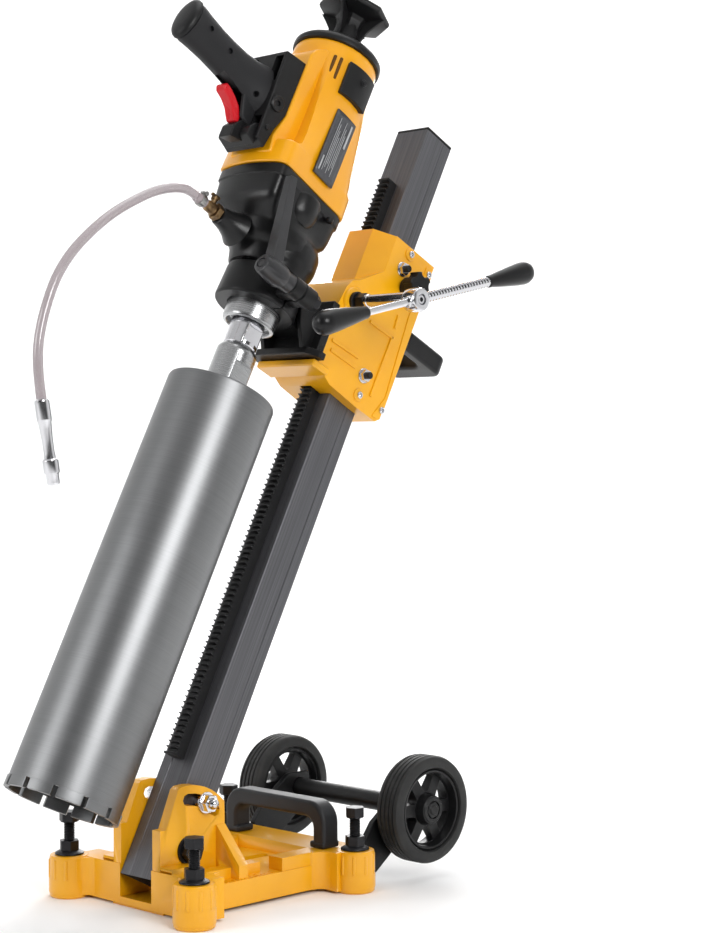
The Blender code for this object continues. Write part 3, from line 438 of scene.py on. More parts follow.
def moulded(name, base_colour, roughness, grain, height):
    """Moulded plastic: one colour right through, with a fine spark-eroded grain that softens its highlights."""
    finish, shader = finish_named(name, Base_Color=colour(base_colour), Specular_IOR_Level=0.3)
    place = add(finish, "ShaderNodeTexCoord").outputs["Object"]
    sheen(finish, shader, noise(finish, 25.0, 5.0, place), roughness - 0.07, roughness + 0.1)
    cells = add(finish, "ShaderNodeTexVoronoi", {"Vector": place, "Scale": 1000 / grain})
    bump(finish, shader, cells.outputs["Distance"], height)
    return finish


BLACK_NYLON = moulded("black_moulded_nylon", "131314", 0.4, 0.9, 0.00006)


def rounded_box(half_u, half_v, radius, centre=(0, 0), steps=5):
    corners = ((1, 1, 0), (-1, 1, 90), (-1, -1, 180), (1, -1, 270))
    return [p for su, sv, a in corners
            for p in arc((centre[0] + su * (half_u - radius), centre[1] + sv * (half_v - radius)),
                         radius, a, a + 90, steps)]


outside = [(80, 45), *arc((56, 71), 24, 0, 90, 10), *arc((-56, 71), 24, 90, 180, 10), (-80, 45)]
inside = [(-62, 45), *arc((-50, 65), 12, 180, 90, 7), *arc((50, 65), 12, 90, 0, 7), (62, 45)]
arch = rounded(slab("Y", 88, 112, outside + inside), 4.5, 4, 60)
feet = both_sides(rounded(block((58, 80), (87.5, 112.5), (44.7, 52)), 2.5, 3))
GREY_NYLON = moulded("grey_moulded_nylon", "232325", 0.46, 0.9, 0.00006)
show("carry_handle_arch", together(arch, feet), GREY_NYLON, "base", ["carry_handle"], BASE)

BLACK_COAT = enamel("black_powder_coat", "111112", "0D0D0E", 0.4, 1.0, 0.00008, 0.0, 0.3)
AXLE = (209.6, 77.6)
bracket = rounded(node_copy("wheel_bracket"), 0.8, 2)
bolts = [together(turned([(0, 5), (4.5, 4.6), (5.5, 3.4), (5.5, 0), (0, 0)], (x, 139, z), (0, 1, 0), 24))
         for x in (-70, 70) for z in (16, 32)]
show("bracket_plate", together(bracket, *bolts), BLACK_COAT, "base", ["wheel_bracket"], BASE)
tube = turned([(0, 95.2), (9.5, 95.2), (11, 93.8), (11, -93.8), (9.5, -95.2), (0, -95.2)], (0, *AXLE),
              (1, 0, 0), 48)
pins = both_sides(turned([(0, 130.8), (4.8, 130.8), (6, 129.6), (6, 95), (0, 95)], (0, *AXLE), (1, 0, 0), 32))
show("axle_tube", together(tube, pins), BLACK_COAT, "base", ["axle"], BASE)

tread_rubber, shader = finish_named("moulded_rubber", Base_Color=colour("161616"), Roughness=0.66, IOR=1.52)
tones(tread_rubber, shader, noise(tread_rubber, 60.0, 6.0), "121212", "222221", 0.4, 0.8)
bump(tread_rubber, shader, noise(tread_rubber, 900.0, 3.0), 0.0001)

for side, sign in (("left", -1), ("right", 1)):
    hub_at, out = (sign * 96, *AXLE), (sign, 0, 0)
    disc = turned([(42, 22), (40, 20), (18, 22), (15.5, 32), (12, 32.5), (11, 31), (6.3, 31), (6.3, 1), (14, 1),
                   (15, 9), (40, 11), (42, 9)], hub_at, out, 96)
    gap = [(18.5, -2.6), (18.5, 2.6), *arc((0, 0), 38, 20, -20, 6)]
    for i in range(6):
        hole = slab("X", 80 if sign > 0 else -140, 140 if sign > 0 else -80, gap)
        corners = [e for e in hole.edges if abs(e.verts[0].co.x - e.verts[1].co.x) > 1 and e.calc_face_angle() > 0.5]
        bmesh.ops.bevel(hole, geom=corners, offset=2, segments=3, affect="EDGES", profile=0.5, material=-1)
        turn = Matrix.Translation((0, *AXLE)) @ Matrix.Rotation(math.radians(60 * i + 30), 4, "X")
        bmesh.ops.transform(hole, matrix=turn, verts=hole.verts)
        disc = carved(disc, hole)
    rim = turned([(44.4, 29), (43, 30.5), (41, 30), (39.5, 21), (39.5, 10), (41, 3), (44.4, 4)], hub_at, out, 96)
    cap = rounded(slab("X", *sorted((sign * 125, sign * 129.6)), hexagon(17, AXLE, 12)), 1.2, 3)
    ring = turned([(10, 33.4), (13.6, 33.4), (15, 32), (15, 26), (10, 26)], hub_at, out, 48)
    show("wheel_moulding_" + side, together(rounded(disc, 0.6, 2, 50), rim, cap, ring), BLACK_NYLON, "wheel_" + side,
         ["wheel_" + side], BASE)
    grooves = [p for i in range(4) for p in ((59.2, 27.6 - 6 * i), (57.4, 27 - 6 * i), (57.4, 25.8 - 6 * i),
                                             (59.2, 25.2 - 6 * i))]
    tyre = turned([(45, 30), (46.4, 32.4), (50, 33), (55, 32.4), (57.8, 31), *grooves, (58.6, 4), (57.4, 2),
                   (55, 0.6), (50, 0), (46.4, 0.6), (45, 3)], hub_at, out, 128)
    show("tyre_ring_" + side, tyre, tread_rubber, "wheel_" + side, ["tyre_" + side], BASE)

# Pivot bolt and tilt bolt -------------------------------------------------------------------------
# The column swings on a plain black bolt low down, and a bright plated bolt in the curved slots locks its lean.
PIVOT, TILT_BOLT = (-66.7, 61.5), (23, 94)
pivot = together(rounded(slab("X", 41, 49.5, hexagon(22, PIVOT, 10)), 1, 2),
                 turned([(0, 2.4), (14.5, 2.4), (15, 1.8), (15, 0), (0, 0)], (38.5, *PIVOT), (1, 0, 0), 40),
                 rod((-52, *PIVOT), (42, *PIVOT), 6.3))
show("pivot_bolt_head", pivot, BLACK_OXIDE, "base", ["pivot_bolt"], BASE)
pivot_nut = together(rounded(slab("X", -49, -41, hexagon(19, PIVOT, 0)), 1, 2),
                     turned([(0, 2.4), (14.5, 2.4), (15, 1.8), (15, 0), (0, 0)], (-38.5, *PIVOT), (-1, 0, 0), 40))
show("pivot_nut_hex", pivot_nut, BLACK_OXIDE, "base", ["pivot_nut"], BASE)

CHROME, shader = finish_named("bright_chrome_plate", Base_Color=colour("D9D9DC"), Metallic=1.0)
sheen(CHROME, shader, noise(CHROME, 70.0, 5.0), 0.06, 0.24)

bolt = together(rod((-41, *TILT_BOLT), (48, *TILT_BOLT), 5.9),
                rounded(slab("X", -47.5, -41, hexagon(18, TILT_BOLT, 8)), 1, 2))
washer = turned([(0, 1.8), (10.6, 1.8), (11, 1.4), (11, 0), (0, 0)], (-38.6, *TILT_BOLT), (-1, 0, 0), 40)
show("tilt_bolt_shank", together(bolt, washer), CHROME, "mast", ["tilt_bolt"])
nut = together(turned([(0, 2), (10.8, 2), (11.3, 1.5), (11.3, 0), (0, 0)], (38.6, *TILT_BOLT), (1, 0, 0), 48),
               rounded(slab("X", 40.6, 49, hexagon(17, TILT_BOLT, 20)), 0.9, 2),
               turned([(0, 7), (2.6, 6.6), (4.8, 5), (6, 2.4), (6.2, 0), (0, 0)], (49, *TILT_BOLT), (1, 0, 0), 40))
show("tilt_nut_dome", nut, CHROME, "mast", ["tilt_nut"])

# Column, cap and rack -----------------------------------------------------------------------------
# An extruded aluminium square tube, anodised dark, with the faint lines that the die leaves along it and a narrow
# groove in two faces. The rack is a blackened steel bar screwed to its front, and a moulded cap closes the top.
ANODISED, shader = finish_named("dark_anodised_aluminium", Metallic=0.55)
place = add(ANODISED, "ShaderNodeTexCoord").outputs["Object"]
upright = add(ANODISED, "ShaderNodeMapping", {"Vector": place, "Rotation": (TILT, 0, 0)})
drawn = add(ANODISED, "ShaderNodeMapping", {"Vector": upright.outputs[0], "Scale": (900, 900, 4)})
lines = noise(ANODISED, 1.0, 2.0, drawn.outputs[0])
tones(ANODISED, shader, lines, "525255", "66666A", 0.3, 0.7)
sheen(ANODISED, shader, lines, 0.34, 0.46)
bump(ANODISED, shader, lines, 0.00004)

half = 24.9
outline = [*arc((-half + 1.5, 1.5), 1.5, 180, 270, 3), (-10.3, 0), (-9.7, 0.9), (-9.1, 0),
           *arc((half - 1.5, 1.5), 1.5, 270, 360, 3), (half, 31.4), (half - 0.8, 32), (half, 32.6),
           *arc((half - 1.5, 44.5), 1.5, 0, 90, 3), *arc((-half + 1.5, 44.5), 1.5, 90, 180, 3)]
tube = slab("Z", 0, 919, outline)
floor_face = [f for f in tube.faces if abs(f.normal.z) > 0.9 and f.calc_center_median().z < 1]
bmesh.ops.inset_region(tube, faces=floor_face, thickness=4, use_even_offset=True)
bmesh.ops.translate(tube, vec=(0, 0, 30), verts=floor_face[0].verts)
show("column_tube", tube, ANODISED, "mast", ["column"], smooth=30)
lid = rounded(block((-half, half), (0, 46), (919.3, 923)), 1.4, 3)
show("column_lid", lid, BLACK_NYLON, "mast", ["column_cap"])
RACK_STEEL = oxide("rack_steel", "2A2A2B", 0.6, 0.45)
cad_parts["rack"].data.materials[0] = RACK_STEEL

# Carriage -----------------------------------------------------------------------------------------
# A yellow aluminium casting that wraps the column, with an eight-sided hood above, low ribs and a boss for the
# pinion's shaft. Cap screws hold its cover plate, and side screws with lock nuts set the pads inside it.
housing = rounded(node_copy("carriage_housing"), 1.6, 3)
show("carriage_casting", housing, CAST_YELLOW, "carriage", ["carriage_housing"], BASE)


def raised_line(points, width, height=1.2):
    """A low rounded rib on the right-hand side face, along points in y and z."""
    lines = []
    for (y0, z0), (y1, z1) in zip(points, points[1:]):
        run = Vector((y1 - y0, z1 - z0)).normalized() * width / 2
        side = Vector((-run.y, run.x))
        lines.append(rounded(slab("X", 38.6, 40 + height, [
            (y0 - run.x + side.x, z0 - run.y + side.y), (y1 + run.x + side.x, z1 + run.y + side.y),
            (y1 + run.x - side.x, z1 + run.y - side.y), (y0 - run.x - side.x, z0 - run.y - side.y)]), 0.7, 2, 50))
    return together(*lines)


ribs = [raised_line(p, 3.6, 2) for p in ([(7, 662), (45, 663), (44, 588)], [(-36, 614), (6, 616)],
                                      [(-33, 603), (7, 604)], [(43, 689), (44, 676)])]
raised_edge = rounded(slab("X", 38.6, 41.4, [(58, 697), (58, 764), (66, 766), (70.4, 760), (70.4, 580), (64, 568),
                                             (56, 568), (66, 596)]), 0.8, 2, 50)
show("carriage_ribs", both_sides(together(*ribs, raised_edge)), CAST_YELLOW, "carriage")
PINION = (-26.3, 675 - 2 * math.pi)
caps, lands = [], []
for y, z in ((28, 763), (27, 579), (64, 757), (66, 580)):
    wide = 7.6 if y < 60 else 4.4
    lands.append(turned([(0, 1.8), (wide - 0.8, 1.8), (wide, 1), (wide, -1), (0, -1)], (40, y, z), (1, 0, 0), 32))
    caps.append(turned([(0, 0.4), (1.9, 0.4), (2.1, 2.4), (3.4, 2.4), (4, 1.8), (4, -0.5), (0, -0.5)],
                       (41.6, y, z), (1, 0, 0), 28))
show("carriage_cap_screws", both_sides(together(*caps)), CHROME, "carriage")
boss = turned([(12.6, 3), (15.6, 3), (17, 1.6), (17.6, -1), (12.6, -1)], (39.8, *PINION), (1, 0, 0), 64)
show("carriage_bosses", both_sides(together(boss, *lands)), CAST_YELLOW, "carriage")
cover = turned([(8.6, 2.4), (11, 2.4), (12.4, 1.4), (12.8, -0.6), (8.6, -0.6)], (40.2, *PINION), (1, 0, 0), 56)
show("pinion_bearing_cover", both_sides(cover), BLACK_OXIDE, "carriage")
for name, (y, z) in (("upper", (24, 741)), ("lower", (24, 602))):
    nut = together(rounded(slab("X", 42, 47, hexagon(13, (y, z), 10)), 0.7, 2),
                   turned([(0, 2), (8.2, 2), (8.6, 1.5), (8.6, 0), (0, 0)], (40.2, y, z), (1, 0, 0), 32))
    show("glide_nut_" + name, nut, CHROME, "carriage")
    show("glide_stud_" + name, together(turned([(0, 0.4), (3.2, 0.4), (4, -0.4), (4, -12), (0, -12)], (52, y, z),
                                               (1, 0, 0), 28)), BLACK_OXIDE, "carriage", ["glide_screw_" + name])
lobes = []
for i in range(6):
    a = 60 * i
    lobes += arc((40, 725), 18, a - 13, a + 13, 4) + arc((40 + 21 * math.cos(math.radians(a + 30)),
                                                          725 + 21 * math.sin(math.radians(a + 30))), 7.5,
                                                         a + 250, a + 170, 4)
star = together(rounded(slab("X", 50, 63.6, lobes), 1.6, 3, 50),
                turned([(0, 14), (9, 14), (12, 11.5), (12, 0), (0, 0)], (41, 40, 725), (1, 0, 0), 32))
show("lock_knob_star", star, BLACK_NYLON, "lock_knob", ["lock_knob"])
loop_out = [(40, 70.4), *arc((27, 128), 13, 0, 90, 7), *arc((-27, 128), 13, 90, 180, 7), (-40, 70.4)]
loop_in = [(-24, 70.4), *arc((-14, 106), 10, 180, 90, 6), *arc((14, 106), 10, 90, 0, 6), (24, 70.4)]
loop = rounded(slab("Z", 663.2, 686.8, loop_out + loop_in), 4.5, 4, 60)
show("carriage_handle_loop", loop, BLACK_NYLON, "carriage", ["carriage_handle"])

# Crank --------------------------------------------------------------------------------------------
# The pinion's black shaft ends in a hexagon that takes a bright sleeve. A drum on the sleeve holds a plated bar,
# rolled with a spiral on its longer arm, and each end carries a moulded grip.
CRANK_LIFT = TILT + math.radians(12.4)
shaft = together(rod((-36, *PINION), (47, *PINION), 7.8), rod((-11, *PINION), (11, *PINION), 11.5),
                 turned([(0, 4), (10.6, 4), (11.2, 3.4), (11.2, 0), (0, 0)], (43.5, *PINION), (1, 0, 0), 40),
                 rounded(slab("X", 47.4, 61, hexagon(16, PINION, 5)), 1, 2))
show("crank_shaft", shaft, BLACK_OXIDE, "crank", ["pinion_shaft"])
HUB = (PINION[0] - 1, PINION[1] - 4)
sleeve = turned([(0, 66), (6.7, 66), (6.7, 4), (7.6, 3), (7.6, 0), (0, 0)], (61, *PINION), (1, 0, 0), 40)
drum = turned([(0, 18), (5.8, 18), (6.2, 21.6), (9.6, 22), (12, 21), (13, 18.6), (13.3, 11), (12.8, 3.4),
               (10.4, 0.6), (7, 0), (0, 0)], (125, *HUB), (1, 0, 0), 64)
hub_screw = turned([(2.6, 3), (4.6, 3), (5.2, 2.2), (5.2, -1), (2.6, -1)], (142.6, *HUB), (1, 0, 0), 32)
socket = turned([(0, 1.2), (2.5, 1.2), (2.5, -1), (0, -1)], (142.8, *HUB), (1, 0, 0), 24)
show("crank_hub_drum", together(sleeve, drum, hub_screw), CHROME, "crank", ["crank_hub"])
show("crank_hub_socket", socket, BLACK_OXIDE, "crank")
along = Vector((0, math.cos(CRANK_LIFT), math.sin(CRANK_LIFT)))
centre = Vector((137, *HUB))
spiral = [(radius, height - 4.8 * i) for i in range(25)
          for radius, height in ((5.9, 133.4), (5.9, 131.4), (4.5, 130.2), (4.5, 129.6))]
bar = together(turned([(0, 148), (4.2, 148), (4.2, 138), *spiral, (5.4, 12), (0, 12)], centre, along, 32),
               turned([(0, 106), (4.2, 106), (4.2, 12), (0, 12)], centre, -along, 32),
               turned([(0, 16), (5.4, 16), (6.6, 15), (6.6, 10), (0, 10)], centre, -along, 32))
show("crank_bar_plated", bar, CHROME, "crank", ["crank_bar"])
GRIP_BLACK = moulded("black_moulded_grip", "121213", 0.3, 0.7, 0.00004)
grip = [(0, 75.8), (4, 75.5), (8, 74), (11.2, 70.6), (13, 65.5), (13.3, 60), (12.6, 50), (11, 36), (9.3, 22), (7.6, 9),
        (6.9, 4), (6.9, 1.2), (6.2, 0), (4.3, 0)]
for name, way, far in (("front", -along, 78), ("rear", along, 121)):
    show("grip_" + name, turned([*grip, (0, 0)], centre + far * way, way, 48), GRIP_BLACK, "crank",
         ["crank_grip_" + name])

# Clamp --------------------------------------------------------------------------------------------
# The drill's neck is held in a black cast collar, slit on one side. A stud through both lugs draws the slit
# closed when the long lever is swung round.
SPINDLE_AXIS, STUD = (0, -123, 0), (62, 624)
back = rounded(block((-46, 46), (-58, -47.3), (582, 652)), 1.6, 3)
floor_plate = rounded(slab("Z", 580.8, 589, [(-53, -48), (53, -48), (53, -57), (40, -68), (-40, -68),
                                             (-53, -57)]), 1.2, 2)
neck = rounded(block((-24, 24), (-92, -50), (606.2, 641)), 1.5, 2)
gussets = both_sides(rounded(slab("X", 28, 34, [(-52, 585), (-66, 585), (-84, 612), (-96, 640), (-52, 640)]), 1, 2))
collar = turned([(31, 644), (42.5, 644), (44, 643), (44.5, 641), (46, 608), (45.6, 606), (44, 604.6), (31, 604.6),
                 (30.3, 606), (30.3, 643)], SPINDLE_AXIS, steps=96)
collar = carved(collar, block((20, 90), (-123.6, -121.9), (560, 700)))
lugs = together(turned([(5.4, 18), (11, 18), (12, 17), (12, 0.2), (5.4, 0.2)], (62, -104, 624), (0, -1, 0), 40),
                turned([(5.4, 14.4), (11, 14.4), (12, 13.4), (12, 0), (5.4, 0)], (62, -123.6, 624), (0, -1, 0), 40),
                rounded(block((40, 60), (-121.9, -107), (613, 635)), 2, 3),
                rounded(block((40, 60), (-137, -123.6), (613, 635)), 2, 3))
show("clamp_casting", together(back, floor_plate, neck, gussets, collar, lugs), BLACK_COAT, "carriage",
     ["clamp_bracket"])
show("clamp_stud_nut", rounded(slab("Y", -103.6, -95, hexagon(17, STUD, 12)), 0.8, 2), BLACK_OXIDE, "carriage",
     ["clamp_nut"])
# The lever's colour is lighter than the other blacks: partly its own black paint, partly a painted highlight standing
# in for the light caught along its edges.
LEVER_BLACK_WITH_PAINTED_HIGHLIGHT = enamel("black_lever_paint", "2C2C2E", "242426", 0.3, 1.4, 0.0001, 0.0, 0.6)
hub = turned([(0, 43.2), (5.6, 43.2), (5.9, 45.6), (8.8, 45.6), (10, 45), (10.8, 43), (12.2, 34), (13, 24),
              (13, 17), (11.6, 12), (11, 10.6), (11, 0.4), (0, 0.4)], (62, -138.3, 624), (0, -1, 0), 56)
socket = rounded(slab("Y", -183.6, -180.6, hexagon(6, STUD, 10)), 0.3, 1)
cap_screw = turned([(3.1, 1.8), (4.6, 1.8), (5, 1.2), (5, -1), (3.1, -1)], (62, -182, 624), (0, -1, 0), 28)
arm = rounded(rod((62, -167.5, 626), (62, -187.6, 728), 11, 6.8, sides=4, turn=45), 1.1, 2)
stud = rod((62, -92, 624), (62, -142, 624), 4.9)
show("clamp_lever_arm", together(hub, socket, cap_screw, arm, stud), LEVER_BLACK_WITH_PAINTED_HIGHLIGHT, "clamp_lever", ["clamp_lever"])

# Gearbox and clamping neck ------------------------------------------------------------------------
# A stepped casting in black stove enamel, shinier than the plastics, with flat flanks where it meets the motor, a
# bulge on each for the layshaft's gear, and a bearing nose below. The collar grips the ground steel neck under it.
GEARBOX_BLACK = enamel("black_stoved_paint", "101011", "0C0C0D", 0.33, 1.4, 0.0001, 0.0, 0.35)
BARREL_HALF = [(0, -63), (9, -62.7), (18, -62), (27, -60.8), (36, -59.2), (43, -57.5), (47.5, -55.8), (50.6, -53),
               (52.2, -49.4), (52.2, -45), (50.5, -34), (48.6, -21), (46.8, -9), (45, 3), (43.3, 15), (41.6, 27),
               (40.2, 37), (39.4, 46), (38, 53), (34.5, 59.6), (28.6, 64), (20.6, 66.6), (10.4, 68.2), (0, 68.8)]
BARREL = [*BARREL_HALF, *[(-x, y) for x, y in BARREL_HALF[-2:0:-1]]]


def barrel(sections):
    """A closed skin through level outlines of the drill. Each has its height, the size of its flat-sided outline,
    its round size, its share of round, the y of its middle and how far forward it may reach."""
    shape = bmesh.new()
    below = None
    for z, flat, radius, share, middle, front in sections:
        ring = bmesh.ops.create_circle(shape, segments=len(BARREL), radius=1)["verts"]
        for vert, (x, y) in zip(ring, BARREL):
            angle = math.atan2(y, x)
            out = ((1 - share) * x * flat + share * radius * math.cos(angle),
                   (1 - share) * y * flat + share * radius * math.sin(angle))
            vert.co = (out[0], middle + max(out[1], -front), z)
        edges = {e for v in ring for e in v.link_edges}
        if below:
            bmesh.ops.bridge_loops(shape, edges=list(edges | below))
        below = edges
    bmesh.ops.holes_fill(shape, edges=shape.edges)
    bmesh.ops.recalc_face_normals(shape, faces=shape.faces)
    return shape


upper = barrel([(741.8, 0.985, 65, 0, -142, 99), (740.6, 1, 65, 0, -142, 99), (730, 1, 65, 0, -142, 99),
                (728.6, 0.975, 65, 0, -142, 99), (726.8, 0.97, 65, 0, -142, 99), (710, 0.955, 60, 0.05, -142, 99),
                (702, 0.935, 58, 0.15, -141.6, 99), (697, 0.89, 54.5, 0.35, -141, 99),
                (692, 0.85, 52, 0.6, -140, 99), (688, 0.82, 50.6, 0.85, -139, 99), (684, 0.8, 49.8, 1, -138, 99),
                (677, 0.8, 49.6, 1, -136.5, 99), (671, 0.8, 48.6, 1, -134.5, 99), (666, 0.7, 46.2, 1, -131, 99),
                (662, 0.7, 44.6, 1, -129, 99), (650, 0.7, 44, 1, -126, 99), (647.2, 0.7, 43, 1, -125, 99)])
lower = turned([(0, 694), (40, 693), (46.5, 688), (48.4, 681), (48.6, 668), (47.4, 662), (45.4, 657), (45, 650),
                (43.5, 647.4), (0, 647.2)], SPINDLE_AXIS, steps=96)
port = turned([(0, 30), (9, 30), (10.4, 29), (12.4, 18), (16, 8), (21, 0), (0, 0)], (0, -184, 670), (0, -1, 0), 48)
blisters = both_sides(turned([(0, 736), (17, 735.4), (22.6, 733), (24.4, 729), (24.4, 715), (22.4, 707), (17, 700),
                              (0, 697)], (29.2, -140, 0), steps=64))
flange_screws = []
for x in (-44, 44):
    for y in (-189, -104):
        flange_screws.append(turned([(0, 5), (3.6, 4.8), (4.4, 4), (4.4, 0), (0, 0)], (x, y, 729), (0, 0, -1), 24))
show("gearbox_casting", together(upper, lower, port, blisters, *flange_screws), GEARBOX_BLACK, "carriage",
     ["gearbox_housing"])


def turned_steel(name, light, dark, roughness, spacing, tilted=True):
    """Lathe-turned steel: fine rings round the axis, a little apart in tone, that spread its highlights."""
    finish, shader = finish_named(name, Metallic=1.0)
    place = add(finish, "ShaderNodeTexCoord").outputs["Object"]
    upright = add(finish, "ShaderNodeMapping", {"Vector": place, "Rotation": (TILT if tilted else 0, 0, 0)})
    rings = add(finish, "ShaderNodeMapping", {"Vector": upright.outputs[0], "Scale": (8, 8, 1000 / spacing)})
    cut = noise(finish, 1.0, 3.0, rings.outputs[0])
    tones(finish, shader, cut, dark, light, 0.3, 0.7)
    sheen(finish, shader, cut, roughness - 0.08, roughness + 0.1)
    bump(finish, shader, cut, 0.00003)
    return finish


GROUND_STEEL = turned_steel("ground_steel", "BDBEBF", "A6A7A8", 0.26, 0.25)
neck = turned([(29, 647), (30, 646.2), (30, 588), (29, 585.4), (27, 584.4), (25.4, 584.4), (24.2, 586), (23.4, 591),
               (20, 592.4), (14.2, 592.4), (14.2, 647)], SPINDLE_AXIS, steps=80)
show("neck_sleeve", neck, GROUND_STEEL, "carriage", ["clamping_neck"])

# Motor --------------------------------------------------------------------------------------------
# A glossy yellow nylon casing round the field windings: flat-flanked at the gearbox and round at the top, with a
# front block for the handle, slots in its flank, brush covers and a rating plate with no lettering.
MOTOR_YELLOW = enamel("glossy_yellow_nylon", "F0A80C", "E89F07", 0.28, 2.5, 0.00006, 0.3)
casing = barrel([(742.4, 1.01, 66, 0, -142, 99), (743.6, 1.03, 66, 0, -142, 99), (768, 1.02, 66, 0, -142, 99),
                 (771, 1, 66, 0, -142, 99), (772.5, 0.99, 64, 0.05, -142, 44), (777, 0.975, 60, 0.1, -142, 40),
                 (790, 0.96, 57, 0.2, -142, 38), (812, 0.95, 54.5, 0.35, -142, 37.5),
                 (840, 0.93, 52.6, 0.55, -142, 37.5), (866, 0.92, 51, 0.8, -142, 38.5),
                 (884, 0.9, 50.2, 0.95, -142, 41), (896, 0.9, 49.8, 1, -142, 45), (906, 0.9, 49.5, 1, -142, 50),
                 (914, 0.9, 49.2, 1, -142, 50), (916.6, 0.9, 48.2, 1, -142, 50)])
block_front = rounded(slab("X", -32.5, 32.5, [(-172, 903), (-184, 901), (-196, 893), (-201.5, 882), (-201.5, 800),
                                             (-208.5, 772), (-206, 753), (-172, 753)]), 2.4, 4)
knob = turned([(0, 20), (8, 19.6), (12, 17.6), (14, 13), (14.6, 0), (0, 0)], (0, -96, 815), (0, 1, 0), 48)
show("motor_casing", together(casing, block_front, knob), MOTOR_YELLOW, "carriage", ["motor_housing"])


MOTOR_AXIS = (0, -142, 0)


def wrapped(shape, turn, reach=0.0):
    """A shape laid out with x across and z up, moved out from the motor's axis and turned round it."""
    place = (Matrix.Translation(MOTOR_AXIS) @ Matrix.Rotation(math.radians(turn), 4, "Z")
             @ Matrix.Translation((0, -reach, 0)))
    bmesh.ops.transform(shape, matrix=place, verts=shape.verts)
    return shape


VENT_DARK = moulded("vent_shadow", "5A3A08", 0.6, 1.2, 0.00004)
slots, screws = [], []
for side in (-1, 1):
    for i in range(2):
        slot = rounded(block((-1.9, 1.9), (-0.5, 3), (870, 899)), 1.6, 3, 60)
        slots.append(wrapped(slot, side * (50 + 8.5 * i), 51.4))
    screws += [turned([(0, 3.6), (3.6, 3.4), (4.4, 2.4), (4.4, 0), (0, 0)], (side * 47, -183, 768), (0, 0, 1), 20),
               turned([(0, 2.4), (2, 2.4), (2.2, 1.4), (3.6, 1.4), (4.2, 0.8), (4.2, 0), (0, 0)],
                      (side * 55.4, -137, 884), (side, 0, 0), 24)]
show("motor_vents", together(*slots), VENT_DARK, "carriage")
show("motor_screws", together(*screws), BLACK_OXIDE, "carriage")
ring = turned([(0, 938.4), (20, 938), (34, 935.6), (43, 931.6), (49, 927.4), (51.6, 924.4), (52, 921), (51.6, 917.6),
               (50.8, 917), (0, 917)], MOTOR_AXIS, steps=96)
show("motor_end_ring", ring, BLACK_NYLON, "carriage", ["motor_end_cap"])
foot = together(turned([(0, 984), (36, 984.6), (40, 987.6), (42, 986.4), (42.3, 983), (40.6, 980), (30, 977.6),
                        (20, 975), (17, 970), (15.4, 960), (16, 948), (19, 940), (22, 936.6), (0, 936)],
                       MOTOR_AXIS, steps=8),
                turned([(0, 978), (14, 976), (15.2, 960), (16, 944), (22, 936.6), (0, 936)], MOTOR_AXIS, steps=64))
webs = []
for i in range(4):
    web = slab("Y", -1.8, 1.8, [(12, 938), (21, 938), (20.6, 950), (25, 962), (33, 972), (40, 980), (12, 982)])
    webs.append(wrapped(rounded(web, 0.7, 2), 22.5 + 90 * i))
show("rear_stand_foot", together(rounded(foot, 0.8, 2, 20), *webs), BLACK_NYLON, "carriage", ["rear_stand"])
for side, start in (("right", 4), ("left", 176)):
    cover = slab("Z", 858, 898, [*arc((0, -142), 55, start - 25, start + 25, 12),
                                 *arc((0, -142), 46, start + 25, start - 25, 12)])
    show("brush_cover_plate_" + side, rounded(cover, 1.2, 3, 50), BLACK_NYLON, "carriage", ["brush_cover_" + side])
PLATE_GREY, shader = finish_named("printed_foil", Metallic=0.3, Roughness=0.4)
tones(PLATE_GREY, shader, noise(PLATE_GREY, 300.0, 2.0), "3C3D40", "55565A")
PLATE_LIGHT = moulded("printed_grey", "A9AAAC", 0.4, 0.5, 0.00001)


def flank_plate(turn, wide, z0, z1, lift, shift=0.0):
    """A thin sheet laid on the motor's flank, between two heights and so wide, turned a little with its taper."""
    sheet = bmesh.new()
    bmesh.ops.create_grid(sheet, x_segments=6, y_segments=10, size=0.5)
    for vert in sheet.verts:
        z = z0 + (z1 - z0) * (vert.co.y + 0.5)
        share = min(max((z - 777) / 119, 0), 1)
        y = -136 + shift + turn * (z - 803) + wide * vert.co.x
        flat = 49.6 - 0.13 * (y + 142) - 3.0 * share
        bowed = math.sqrt(max(51 ** 2 - (y + 142) ** 2, 0))
        vert.co = (max(flat * (1 - share ** 1.6) + bowed * share ** 1.6, 0) + lift, y, z)
    bmesh.ops.recalc_face_normals(sheet, faces=sheet.faces)
    return sheet


plate = show("rating_plate", flank_plate(0.03, 35, 758, 841, 1.0), PLATE_GREY, "carriage")
thick = plate.modifiers.new("thick", "SOLIDIFY")
thick.thickness = 0.0024
thick.offset = -1
bars = [flank_plate(0.03, 3, 806, 836, 1.4, 11), flank_plate(0.03, 2, 764, 782, 1.4, -13),
        *[flank_plate(0.03, 0.7, 766 + 5 * (i % 3), 834 - 7 * (i % 4), 1.4, -9 + 2.6 * i) for i in range(7)]]
print_bars = show("plate_marks", together(*bars), PLATE_LIGHT, "carriage")
thick = print_bars.modifiers.new("thick", "SOLIDIFY")
thick.thickness = 0.0004

# Switch box, pistol grip and trigger --------------------------------------------------------------
# The switch box is screwed to the motor's pad and the pistol grip grows out of it, two black mouldings of the same
# grain, with a red trigger under the grip.
box_shape = rounded(slab("X", -30, 30, [(-200.4, 870), (-231, 867), (-227, 759), (-212.5, 753), (-208.8, 778),
                                        (-200.4, 802)]), 1.8, 3)
lug = rounded(slab("X", -24, 24, [(-222, 778), (-231, 774), (-236, 766), (-236, 757), (-222, 752)]), 1.5, 3)
fork = rounded(slab("X", -10, 10, [(-220, 790), (-232, 788), (-238, 776), (-246, 764), (-246, 750),
                                   (-220, 756)]), 1.5, 3)
dials = both_sides(together(turned([(0, -2.4), (3.2, -2.4), (3.4, 1.6), (7.6, 2.6), (9, 1.8), (9.4, -0.5), (0, -0.6)],
                                   (30.2, -218, 806), (1, 0, 0), 40),
                            turned([(0, 1.6), (2.4, 1.6), (3, 1), (3, 0), (0, 0)], (30, -219, 775), (1, 0, 0), 24)))
